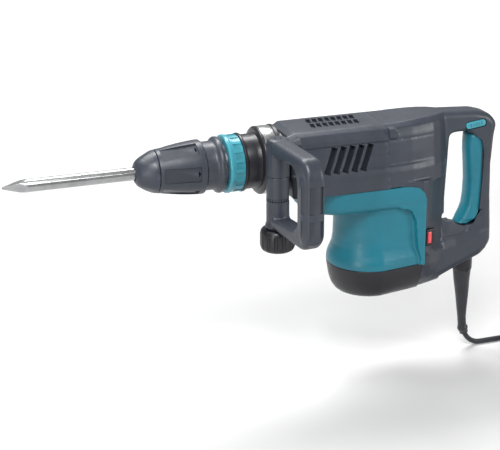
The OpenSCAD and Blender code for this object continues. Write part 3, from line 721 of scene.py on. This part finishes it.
def make_floor():
    """A plain pale floor, far wider than the view."""
    floor = as_object("floor", block((-6000, -6000, -3), (7000, 7000, 0)))
    floor.data.transform(Matrix.Translation((0, 0, FLOOR_Z)) @ Matrix.Scale(0.001, 4))
    n = Nodes("floor_paint")
    n.link(n.mix(n.ramp(n.noise(400, detail=3), 0.3, 0.7), (0.50, 0.50, 0.50), (0.54, 0.54, 0.54)),
           n.shader.inputs["Base Color"])
    n.link(n.ramp(n.noise(60), 0.3, 0.7, 0.6, 0.7), n.shader.inputs["Roughness"])
    n.link(n.bump(n.noise(3), 0.05, 0.1), n.shader.inputs["Normal"])
    floor.data.materials.append(n.material)


def area_light(name, place, target, size, power):
    """A soft rectangular lamp that looks at its target."""
    data = bpy.data.lights.new(name, "AREA")
    data.shape = "RECTANGLE"
    data.size, data.size_y = size
    data.energy = power
    light = bpy.data.objects.new(name, data)
    light.location = place
    light.rotation_euler = (Vector(target) - Vector(place)).to_track_quat("-Z", "Y").to_euler()
    scene.collection.objects.link(light)


def make_lights():
    """A pale surround, four soft lamps on the tool, and one that whitens the floor behind it."""
    world = bpy.data.worlds.new("studio")
    world.use_nodes = True
    world.node_tree.nodes["Background"].inputs["Color"].default_value = (1, 1, 1, 1)
    world.node_tree.nodes["Background"].inputs["Strength"].default_value = 0.36
    scene.world = world
    middle = (-0.25, 0, 0)
    area_light("key", (-1.1, -1.4, 1.9), middle, (1.1, 0.9), 68)
    area_light("top", (-0.5, 1.0, 1.7), middle, (2.0, 0.6), 62)
    area_light("side", (-1.9, -1.5, 0.3), middle, (0.25, 1.2), 14)
    area_light("fill", (1.6, -1.5, 0.6), middle, (0.7, 1.2), 26)
    area_light("backdrop", (0.6, 2.6, 2.2), (1.2, 5.5, -0.27), (5, 1.5), 420)


make_floor()
make_lights()
scene.view_settings.view_transform = "Standard"

# ---------------------------------------------------------------- chuck


def six_round(shape, place, tilt):
    """Six copies of a shape round the chuck, each tilted to follow the cone."""
    lean = Matrix.Translation(place) @ Matrix.Rotation(math.radians(tilt), 4, "Y")
    copies = []
    for i in range(6):
        spin = Matrix.Rotation(math.radians(30 + 60 * i), 4, "X")
        copies.append(placed(shape.copy(), spin @ lean))
    shape.free()
    return copies


def make_nose_tip():
    """The dust cap at the very front, with six flats on its cone."""
    cap = ring([(8, 9.6), (1, 9.6), (0.0, 10.6), (0.2, 12.2), (1.2, 14.4), (3, 17), (5.5, 19.3), (8, 21),
                (11.5, 23.3), (16, 26), (22, 28.6), (28.2, 30.4), (29.0, 30.3), (29.4, 29.6), (29.4, 17.5),
                (9, 17.5)])
    flat = block((-8.5, -8.5, 0), (8.5, 8.5, 14))
    tip = cut(as_object("nose_tip", cap), six_round(flat, (17, 0, 25.2), -25))
    piece_of(tip, "body_plastic", "holder", "nose_cap", angle=25)


def make_chuck_cover():
    """The sliding cover, with a long grip recess on each of its six sides."""
    cover = as_object("chuck_cover", ring([
        (30.2, 17.6), (30.2, 29.8), (30.7, 30.6), (36, 31.6), (43, 32.7), (52, 34.3), (62, 35.8), (72, 37),
        (80, 37.8), (87, 38.3), (92, 38.5), (94.6, 38.3), (95.8, 37.4), (96, 36), (96, 35), (83, 35),
        (83, 26), (38, 26), (38, 17.6)]))
    cut(cover, six_round(block((-26, -10.8, 0), (26, 10.8, 14)), (61, 0, 32.2), -6.5))
    piece_of(cover, "body_plastic", "release_cover", "release_cover", angle=25)


def make_neck():
    """The collar behind the cover, which flares to the change ring."""
    collar = ring([(97, 22.2), (97, 34), (97.6, 34.5), (110, 34.5), (112, 35), (114, 36.6), (116, 39),
                   (118, 40), (120.5, 40), (122.4, 39.4), (123, 38), (123, 22.2)])
    piece_of(as_object("neck", collar), "body_plastic", "holder", "neck_collar")


def make_change_ring():
    """The ring that turns the chisel: a rounded lip in front of shallow grip panels."""
    change = as_object("change_ring_visual", ring([
        (128, 30.2), (128, 40.0), (128.5, 41.0), (129.4, 41.6), (131, 41.7), (133, 41.6), (133.8, 41),
        (134.2, 40.9), (148.9, 40.9), (149.8, 40.3), (150, 39.4), (150, 30.2)], 160))
    cut(change, round_copies(block((136.2, -4.6, 39.6), (151, 4.6, 44)), 18, "X"))
    piece_of(change, "ring_plastic", "change_ring", "change_ring", angle=25)


def make_front_sleeve():
    """The black ring and sleeve between the change ring and the barrel."""
    piece_of(as_object("seal_ring", ring([
        (150.3, 30.2), (150.3, 40.8), (151, 41.7), (152.6, 42), (154.2, 41.7), (155, 40.8), (155, 30.2)])),
        "black_plastic", "tool_body", "detent_ring")
    piece_of(as_object("sleeve", ring([
        (155, 30.2), (155, 38.6), (156, 39), (169, 39), (172, 39.4), (175.4, 40.4), (176, 40.2),
        (176, 30.2)])),
        "black_plastic", "tool_body", "front_sleeve")


def make_barrel():
    """The barrel, with a groove for the side handle's band."""
    barrel = ring([
        (176, 25), (176, 43), (176.4, 45), (177.2, 46.8), (178.4, 48), (179.4, 48.6), (180.7, 48.6),
        (180.7, 46), (200.3, 46), (200.3, 48.6), (202, 49.4), (204.4, 49.4), (205, 48.8), (205, 38),
        (262, 38), (262, 25)])
    piece_of(as_object("barrel_body", barrel), "black_plastic", "tool_body", "barrel")


def make_clamp_band():
    """The side handle's steel band, in the barrel's groove."""
    band = ring([
        (181, 46.2), (181, 47.6), (181.6, 48.3), (183, 48.6), (198, 48.6), (199.4, 48.3), (200, 47.6),
        (200, 46.2)])
    piece_of(as_object("clamp_band", band), "steel", "handle_mount", "handle_band")


make_nose_tip()
make_chuck_cover()
make_neck()
make_change_ring()
make_front_sleeve()
make_barrel()
make_clamp_band()

# ---------------------------------------------------------------- side handle

SPINE = Vector((187, -66, 0))
SPINE_R = 16
SIDE_GRIP_X = 103
SIDE_RIM_X = 119
SIDE_HALF = 14
SIDE_YAW = math.radians(5 - 90)


def side_frame():
    """The D-shaped frame between spine and grip, drawn straight out along X."""
    far = SIDE_RIM_X
    outline = rounded([
        (0, 49.5, 2), (16, 49.5, 10), (far - 14, 48.5, 30), (far, 30, 30), (far, -62, 24),
        (far - 16, -80, 24), (0, -79, 2)], 8)
    hole = rounded([(12, 30, 6), (76, 31, 20), (86, 10, 24), (86, -48, 16), (76, -58, 14), (36, -62, 12),
                    (12, -63, 4)], 8)
    slab = as_object("side_ring", pillow(outline, SIDE_HALF, 7))
    return as_shape(cut(slab, [opening(hole, SIDE_HALF, 4)]))


def side_grip_panels():
    """Shallow panels in two rows on the grip's outer side."""
    panels = []
    for a in (-72, -24, 24, 72):
        spin = Matrix.Translation((SIDE_GRIP_X, 0, 0)) @ Matrix.Rotation(math.radians(a), 4, "Z")
        for low, high in ((-62, -34), (-24, 14)):
            panels.append(placed(block((16.0, -2.9, low), (20, 2.9, high)), spin))
    return panels


def make_side_handle():
    """The side handle in one piece, with room for the foot in the middle of its spine."""
    grip = lathe([(-70, 12), (-66, 15), (-58, 16.6), (-40, 17), (-15, 16.6), (10, 16.8), (20, 15.6), (27, 13),
                  (30, 10)], 48, "z", (SIDE_GRIP_X, 0, 0))
    spine = lathe([(-80, 16), (-78.5, 17.6), (-76, 17.8), (-73, 16.8), (-70, SPINE_R), (44, SPINE_R),
                   (48, 15.2), (50, 12.6)], 64, "z")
    piece = moulded("side_handle_body", [side_frame(), grip, spine], 1.1, 9)
    cut(piece, [block((-20, -20, -39), (24, 20, -3))])
    # the bolt's bore under a closed top, which carries a small moulded ring
    cut(piece, [lathe([(-90, 5.3), (41.5, 5.3), (42, 10), (48.3, 10)], 48, "z"),
                ring([(49.1, 4.2), (52, 4.2), (52, 5.2), (49.1, 5.2)], 48, "z")])
    cut(piece, side_grip_panels())
    piece.data.transform(Matrix.Translation(SPINE) @ Matrix.Rotation(SIDE_YAW, 4, "Z"))
    piece_of(piece, "body_plastic", "side_handle", "side_handle", angle=30)


def make_grip_base():
    """The foot between the two halves of the handle's spine: toothed below, joined to the clamp band."""
    post = lathe([(-38.7, 15.2), (-38.0, SPINE_R), (-3.9, SPINE_R), (-3.4, 15.4)], 64, "z", SPINE)
    plan = rounded([(182, -70, 1), (199, -70, 1), (199, -40, 1), (182, -40, 1)], 2)
    neck = pillow(plan, 16, 3, on_top, 4, -21)
    piece = moulded("handle_foot", [post, neck], 1.0, 3)
    cut(piece, [lathe([(160, 48.65), (215, 48.65)], 160)])
    cut(piece, round_copies(block((14.6, -0.9, -40), (18, 0.9, -34)), 24, "Z", centre=SPINE))
    piece_of(piece, "body_plastic", "handle_mount", "grip_base")


def make_clamp_knob():
    """The fluted knob on the handle's bolt."""
    knob = as_object("clamp_knob", lathe([
        (-80.4, 5.3), (-80.4, 20), (-81.2, 22), (-83.5, 23.8), (-87, 24.8), (-104, 24.8), (-108, 24),
        (-111, 22.2), (-112.6, 19.6), (-113, 16), (-112.4, 13), (-112.2, 0)], 120, "z", SPINE))
    flute = lathe([(-121, 2.9), (-88, 2.9), (-85.5, 1.8), (-84.5, 0)], 20, "z", (25.6, 0, 0))
    cut(knob, round_copies(flute, 14, "Z", 0.5, SPINE))
    piece_of(knob, "black_plastic", "clamp_nut", "clamp_nut")


make_side_handle()
make_grip_base()
make_clamp_knob()

# ---------------------------------------------------------------- front housing

COVER_X0 = 205
SEAM_X = 362
ARM_X = 421
FLOOR_EDGE_Z = -45.6
FRONT_ARC_R = 150


def casing_section(k=1.0, fade=1.0, rise=0.0, top_drop=0.0):
    """The casing's (y, z) section from its left lower edge over the top to the right lower edge.

    k narrows it, fade takes its groove and steps away towards 0, and rise and top_drop move it and its top.
    """
    groove = 1.6 * fade
    half = [
        (61 * k, FLOOR_EDGE_Z, 0.5), ((59.3 + 1.0 * (1 - fade)) * k, -22, 4), (57 * k, -15.2, 2),
        (53.7 * k + 1.4 * (1 - fade), -12, 1), (53.3 * k, 3, 5), (51.2 * k, 21.6, 0.6),
        (51 * k - groove, 22.8, 0.3), (51 * k - groove * 0.2, 25.2, 1.2), (49.4 * k, 31, 5),
        (45 * k, 39.5, 5), (35 * k, 44 - top_drop, 5)]
    return rounded(both_sides([(y, z + rise, r) for y, z, r in half]), 4)


def front_x(y):
    """Where the cover's curved front face stands at a given y."""
    return COVER_X0 + FRONT_ARC_R - math.sqrt(FRONT_ARC_R ** 2 - y ** 2)


def top_vents():
    """Two rows of slanting slots in the top."""
    turn = Matrix.Rotation(math.radians(-12), 4, "Z")
    vents = []
    for row in range(2):
        for i in range(8):
            x, y = 262 + 9.6 * i + 3 * row, -7 + 24 * row
            vents.append(block((x - 3.3, y - 10, 40), (x + 3.3, y + 10, 50), turn))
    return vents


def side_louvres():
    """Five leaning slots in each side."""
    louvres = []
    for s in (-1, 1):
        turn = Matrix.Rotation(math.radians(19), 4, "Y") @ Matrix.Rotation(math.radians(s * 8), 4, "X")
        for i in range(5):
            x = 272 + 13.8 * i
            louvres.append(block((x - 4.5, s * 52 - 7, -16.5), (x + 4.5, s * 52 + 7, 23), turn))
    return louvres


def make_housing_cover():
    """The front casing, from its curved front face to the joint."""
    full = casing_section()
    small = [Vector((p.x * 0.87, p.y * 0.84 if p.y > 0 else p.y)) for p in full]
    middle = [Vector((p.x * 0.89, p.y * 0.86 if p.y > 0 else p.y)) for p in full]
    rings = [[Vector((front_x(p.x) + 0.4, p.x * 0.98, p.y * 0.985)) for p in small],
             [Vector((front_x(p.x) + 1.2, p.x, p.y)) for p in small],
             [Vector((front_x(p.x) + 3, p.x, p.y)) for p in middle]]
    steps = 12
    for k in range(steps + 1):
        t = k / steps
        starts = [(front_x(p.x) + 15.5, p) for p in full]
        rings.append([Vector((x + (SEAM_X - x) * t, p.x, p.y)) for x, p in starts])
    piece = as_object("front_housing", loft(rings))
    cut(piece, top_vents())
    cut(piece, side_louvres())
    cut(piece, [lathe([(200, 49.6), (215, 49.6)], 160)])
    piece_of(piece, "body_plastic", "tool_body", "housing_cover", angle=22)


make_housing_cover()

# ---------------------------------------------------------------- rear housing

HANDLE_OUTLINE = [
    (430, 46, 1), (466, 46.8, 30), (518, 43.5, 40), (540, 37.5, 26), (553.3, 23, 16), (549.5, 2, 30),
    (546.6, -40, 50), (547.6, -90, 50), (550.4, -132, 30), (551.5, -165, 22), (536, -184, 22),
    (493, -200, 40), (464, -211, 8), (428, -214, 4), (428, -60, 4)]
OPENING_OUTLINE = [
    (476, 12, 9), (490, 13.5, 8), (506, 13, 8), (517, 2, 10), (517, -50, 30), (517, -100, 16), (513, -120, 9),
    (492, -127, 20), (472.5, -128, 8), (471.5, -86, 30), (475, -10, 30)]
TRIGGER_SIDE = [
    (500, 14, 2), (514, 8.5, 6), (527, -1, 9), (531.5, -19, 20), (531.2, -50, 60), (529.6, -82, 60),
    (527.8, -113, 18), (520, -132, 12), (506, -135, 10), (488, -130, 3), (486, -60, 2)]
SHOULDER = [(395, -46.6, 12), (409, -50.2, 8), (417, -59, 8), (420.4, -69, 8), (421, -80, 2)]
STRIP_OUTLINE = [
    (541.5, 10, 3), (570, 10, 1), (570, -142, 1), (543.5, -140, 4), (540.2, -60, 60)]
GRIP_HALF = 21
STRIP_GAP = 0.5
LAMP_PLACE = Matrix.Translation((430, -55.2, -129)) @ Matrix.Rotation(math.radians(10), 4, "Z")
LOCK_PLACE = Matrix.Translation((515.6, 0, 24.2)) @ Matrix.Rotation(math.radians(-7), 4, "Y")


def rear_body():
    """The casing behind the joint, drawn in towards the handle."""
    rings = []
    for x, k, fade, rise, drop in (
            (356, 1.0, 1.0, 0, 0), (380, 0.975, 1.0, 0, -0.4), (400, 0.94, 0.85, 0.3, -1),
            (420, 0.87, 0.6, 0.4, -1.8), (438, 0.78, 0.3, 0.5, -2.2), (452, 0.64, 0.1, 0.5, -2.4),
            (462, 0.48, 0.0, 0.5, -2.2), (468, 0.37, 0.0, 0.3, -2)):
        rings.append(across(casing_section(k, fade, rise, drop), x))
    return loft(rings)


def column():
    """The upright behind the motor: a plain upper part, and a shoulder under the crease."""
    rings = []
    for x, upper, lower in ((415, 60, 52.5), (423, 58, 51), (434, 48.5, 46.5), (446, 37, 39.5),
                            (457, 27.5, 32.5), (466, 21, 27)):
        half = [(upper, -40, 2), (upper - 0.5, -100, 30), (upper - 1.5, -150, 3), (lower, -160, 5),
                (lower - 1, -178, 10), (lower * 0.84, -199, 8), (lower * 0.68, -210, 5),
                (lower * 0.58, -214.4, 2)]
        rings.append(across(rounded(both_sides(half), 4), x))
    return loft(rings)


def handle_loop():
    """The D of the rear handle; the arm's upper faces fall away from its crest."""
    loop = moulded("loop", [pillow(rounded(HANDLE_OUTLINE, 7), GRIP_HALF, 10.5, steps=8)], 1.3, 2)
    cut(loop, [opening(rounded(OPENING_OUTLINE, 7), GRIP_HALF, 9, steps=8)])
    slopes = []
    for s in (-1, 1):
        rings = []
        for x, top, foot, low in ((464, 2, 19.5, -148), (508, 4, 19.5, -146), (536, 20.5, 21, -138)):
            corners = ((top, -110), (34, -110), (34, low), (foot, low))
            rings.append([Vector((x, s * y, z)) for y, z in corners])
        slopes.append(loft(rings))
    return as_shape(cut(loop, slopes))


def lower_arm():
    """The arm from the motor to the grip, widest under its crease."""
    rings = []
    for x, crease, bottom, wide in (
            (455, -158, -212, 31), (468, -157.5, -208.5, 27), (490, -154, -200, 25),
            (510, -148, -192.5, 24.4), (530, -141, -185, 23.4), (543, -136, -176, 21.6)):
        half = [(wide * 0.5, crease + 14, 6), (wide - 3.6, crease + 4, 3), (wide, crease - 7, 5),
                (wide - 0.4, bottom + 12, 6), (wide * 0.8, bottom + 1.5, 4)]
        rings.append(across(rounded(both_sides(half), 4), x))
    return loft(rings)


def cut_motor_place(piece):
    """The front joint, and the motor's place under the body."""
    cut(piece, [block((340, -80, -90), (SEAM_X + 0.3, 80, 60))])
    place = rounded([(350, -46.3, 0.1), *SHOULDER, (ARM_X + 0.2, -230, 0.1), (350, -230, 0.1)], 8)
    cut(piece, [prism(place, -90, 90)])


def cut_trigger_place(piece):
    """Room for the trigger, open to the finger opening."""
    cut(piece, [prism(rounded(TRIGGER_SIDE, 6), -40, 40)])
    cut(piece, [block((505, -18.6, -133), (546, 18.6, 6))])


def cut_seats(piece):
    """Seats of the cord's socket, of the locking button on both sides, and of the lamp's bezel."""
    cut(piece, [lathe([(-178, 15.6), (-230, 15.6)], 64, "z", (SOCKET_X, 0, 0))])
    slot = rounded([(-17.4, -6.4, 6), (17.4, -6.4, 6), (17.4, 6.4, 6), (-17.4, 6.4, 6)], 6)
    cut(piece, [placed(prism(slot, low, high), LOCK_PLACE) for low, high in ((-30, -14), (14, 30))])
    cut(piece, [placed(block((-8.6, -12, -13.6), (8.6, 3.6, 13.6)), LAMP_PLACE)])


def split_grip_strip(piece):
    """Takes the soft rear face of the grip off the housing as a piece of its own, set in flush."""
    strip = piece.copy()
    strip.name = "grip_strip"
    strip.data = piece.data.copy()
    scene.collection.objects.link(strip)
    outline = rounded(STRIP_OUTLINE, 6)
    cut(strip, [prism(outline, -40, 40)], "INTERSECT")
    cut(piece, [prism(grown(distinct(outline), STRIP_GAP), -40, 40)])
    return strip


def make_rear_housing():
    """The rear casing with its handle, run together as one moulding."""
    # what fills the corner above the motor's rounded shoulder, and the lug behind the joint
    corner = block((380, -59, -80), (423, 59, -40))
    lug = pillow(rounded([(358, 26, 2), (375.5, 26, 2), (375.5, 41, 4), (358, 41, 4)], 4), 4.8, 2, middle=-48)
    shapes = [rear_body(), column(), handle_loop(), lower_arm(), corner, lug]
    piece = moulded("rear_housing_body", shapes, 1.15, 10)
    cut_motor_place(piece)
    cut_trigger_place(piece)
    cut_seats(piece)
    strip = split_grip_strip(piece)
    piece_of(strip, "grip_rubber", "tool_body", "grip_cover")
    piece_of(piece, "body_plastic", "tool_body", "rear_housing", angle=35)


def make_trigger():
    """The long paddle: rounded in front, its wings inside the grip."""
    rows = (
        (7.5, 511, 521), (4, 509, 526), (-6, 508, 529.6), (-18, 508, 530.6), (-42, 510.4, 530.8),
        (-66, 512, 530.6), (-89, 511.6, 530), (-105, 509.4, 529.2), (-115, 505.4, 527.6),
        (-124, 500.6, 523.5), (-129, 497.4, 518), (-131.5, 496, 512))
    rings = []
    for z, front, rear in rows:
        half = 17.6 if rear > 523 else 14.5
        depth = rear - front
        row = []
        for k in range(33):
            a = math.pi * k / 32
            c, s = math.cos(a), math.sin(a)
            nose = math.copysign(abs(c) ** 0.8, c)
            reach = min(depth * 0.72, 17)
            row.append(Vector((front + reach * (1 - s ** 0.85), half * nose, z)))
        row.append(Vector((rear, -half, z)))
        row.append(Vector((rear, half, z)))
        rings.append(row)
    piece = moulded("trigger_paddle", [loft(rings)], 1.0, 4)
    cut(piece, [block((518, -14, -104), (545, 14, 1))])
    piece_of(piece, "teal_plastic", "trigger", "trigger", angle=40)


def make_lock_button():
    """The push-through key above the trigger, ribbed at both ends."""
    outline = rounded([(-16, -5.1, 4.9), (16, -5.1, 4.9), (16, 5.1, 4.9), (-16, 5.1, 4.9)], 6)
    piece = as_object("lock_key", placed(pillow(outline, 22, 1.6, steps=4), LOCK_PLACE))
    lines = []
    for s in (-1, 1):
        for i in range(5):
            x = -8.4 + 4.2 * i
            line = block((x - 0.5, s * 22.2 - 0.9, -2.6), (x + 0.5, s * 22.2 + 0.9, 2.6))
            lines.append(placed(line, LOCK_PLACE))
    cut(piece, lines)
    piece_of(piece, "ring_plastic", "lock_button", "lock_button", angle=25)


def make_lamp():
    """The indicator in a black bezel beside the motor."""
    bezel = pillow(rounded([(-8, -13, 3), (8, -13, 3), (8, 13, 3), (-8, 13, 3)], 4), 3.2, 1.2, steps=3)
    window = prism(rounded([(-6, -9.4, 1.6), (1.4, -9.4, 1.6), (1.4, 9.4, 1.6), (-6, 9.4, 1.6)], 3), -8, -0.8)
    red = pillow(rounded([(-5.6, -9, 1.4), (1, -9, 1.4), (1, 9, 1.4), (-5.6, 9, 1.4)], 4), 1.9, 1, steps=4,
                 middle=-1.2)
    for shape in (bezel, window, red):
        placed(shape, LAMP_PLACE)
    piece_of(cut(as_object("lamp_bezel", bezel), [window]), "black_plastic", "tool_body", "indicator_bezel")
    piece_of(as_object("lamp_lens", red), "red_lens", "tool_body", "indicator_lens")


def make_handle_screws():
    """The five screws of the handle's right half; the first piece stands for them all."""
    facing = Matrix.Rotation(math.radians(-90), 4, "X")
    spots = ((487, 18.8, 33), (548, 16.4, 27), (543, 21.2, -152), (487, 21.2, -152), (494, 21.2, -186))
    for i, spot in enumerate(spots):
        nodes = ("handle_screws",) if i == 0 else ()
        screw_head(f"handle_screw_{i + 1}", spot, facing, 3.4, "dark_steel", "tool_body", *nodes)


make_rear_housing()
make_trigger()
make_lock_button()
make_lamp()
make_handle_screws()

# ---------------------------------------------------------------- motor

MOTOR_X = 355


def band_outline(inset, tip=268):
    """Plan of the motor housing's wide band: a round nose in front, straight sides behind."""
    wide = 60.5 - inset
    return rounded([
        (tip - 25 + inset, -30, 30), (tip + 12, -59 + inset, 40), (340, -wide, 60), (ARM_X + 4, -wide, 0.5),
        (ARM_X + 4, wide, 0.5), (340, wide, 60), (tip + 12, 59 - inset, 40), (tip - 25 + inset, 30, 30)], 6)


def motor_outline(r, rear):
    """Plan of the lower motor housing: round about the motor, running back to the arm."""
    out = []
    for k in range(41):
        a = math.radians(90 + 180 * k / 40)
        out.append(Vector((MOTOR_X + r * math.cos(a), r * math.sin(a))))
    out += [Vector((MOTOR_X + (ARM_X + 4 - MOTOR_X) * t, -r + (r - rear) * t)) for t in (0.33, 0.66, 1)]
    out += [Vector((MOTOR_X + (ARM_X + 4 - MOTOR_X) * t, r - (r - rear) * t)) for t in (1, 0.66, 0.33)]
    return out


def make_motor_housing():
    """The hanging motor's casing: the wide band at its top, and the waisted barrel below."""
    band = loft([on_top(band_outline(i), z) for i, z in (
        (0, -40), (0, -60), (0, -68), (0.8, -73), (2.6, -76.2), (6, -78.6), (12, -80))])
    barrel = loft([on_top(motor_outline(r, rear), z) for z, r, rear in (
        (-60, 56, 52), (-80, 55, 51), (-88, 53, 50), (-110, 52, 49.5), (-130, 52.6, 49.5), (-142, 54.2, 50),
        (-150, 57, 51), (-157, 60, 52), (-163, 61.6, 51.5), (-172, 62, 51))])
    side = rounded([
        (376, -60, 1), (376, -79.6, 1), (396, -82, 14), (404.5, -100, 22), (408, -140, 10), (413, -158, 8),
        (413, -172, 1), (ARM_X + 4, -172, 1), (ARM_X + 4, -60, 1)], 6)
    piece = moulded("motor_housing_body", [band, barrel, pillow(side, 59.6, 7)], 1.4, 6)
    cut(piece, [block((200, -90, -46.3), (440, 90, -20))])
    cut(piece, [block((420.8, -90, -200), (440, 90, -30))])
    # the shoulder at the rear top corner is rounded
    corner = rounded([(378, -46, 0.1), *SHOULDER, (440, -80, 0.1), (440, -20, 0.1), (378, -20, 0.1)], 8)
    cut(piece, [prism(corner, -90, 90)])
    cut(piece, [block((200, -90, -190), (440, 90, -170.2))])
    piece_of(piece, "teal_plastic", "tool_body", "motor_housing", angle=35)


def make_base():
    """The cover below the motor, with four screw seats and a row of slots."""
    rings = []
    for z, r, rear in ((-170.4, 60.6, 49.5), (-171.4, 61.6, 50.5), (-176, 61.4, 50), (-190, 59, 47),
                       (-200, 56.6, 43.5), (-207, 53.6, 40), (-212, 50, 36.5), (-214.4, 47, 33.5),
                       (-215, 44.5, 31)):
        rings.append([Vector((min(p.x, ARM_X - 0.4), p.y, p.z)) for p in on_top(motor_outline(r, rear), z)])
    piece = as_object("base_body", loft(rings))
    seats = []
    for a in (45, 135, 225, 315):
        turn = math.radians(a)
        seats.append(lathe([(-220, 4.8), (-210.5, 4.8)], 32, "z",
                           (MOTOR_X + 38 * math.cos(turn), 38 * math.sin(turn), 0)))
    low, high = MOTOR_X - 16, MOTOR_X + 16
    slots = [block((low, y - 1.6, -220), (high, y + 1.6, -212.5)) for y in (-15, -9, -3, 3, 9, 15)]
    cut(cut(piece, seats), slots)
    piece_of(piece, "black_plastic", "tool_body", "base_cover", angle=30)


make_motor_housing()
make_base()
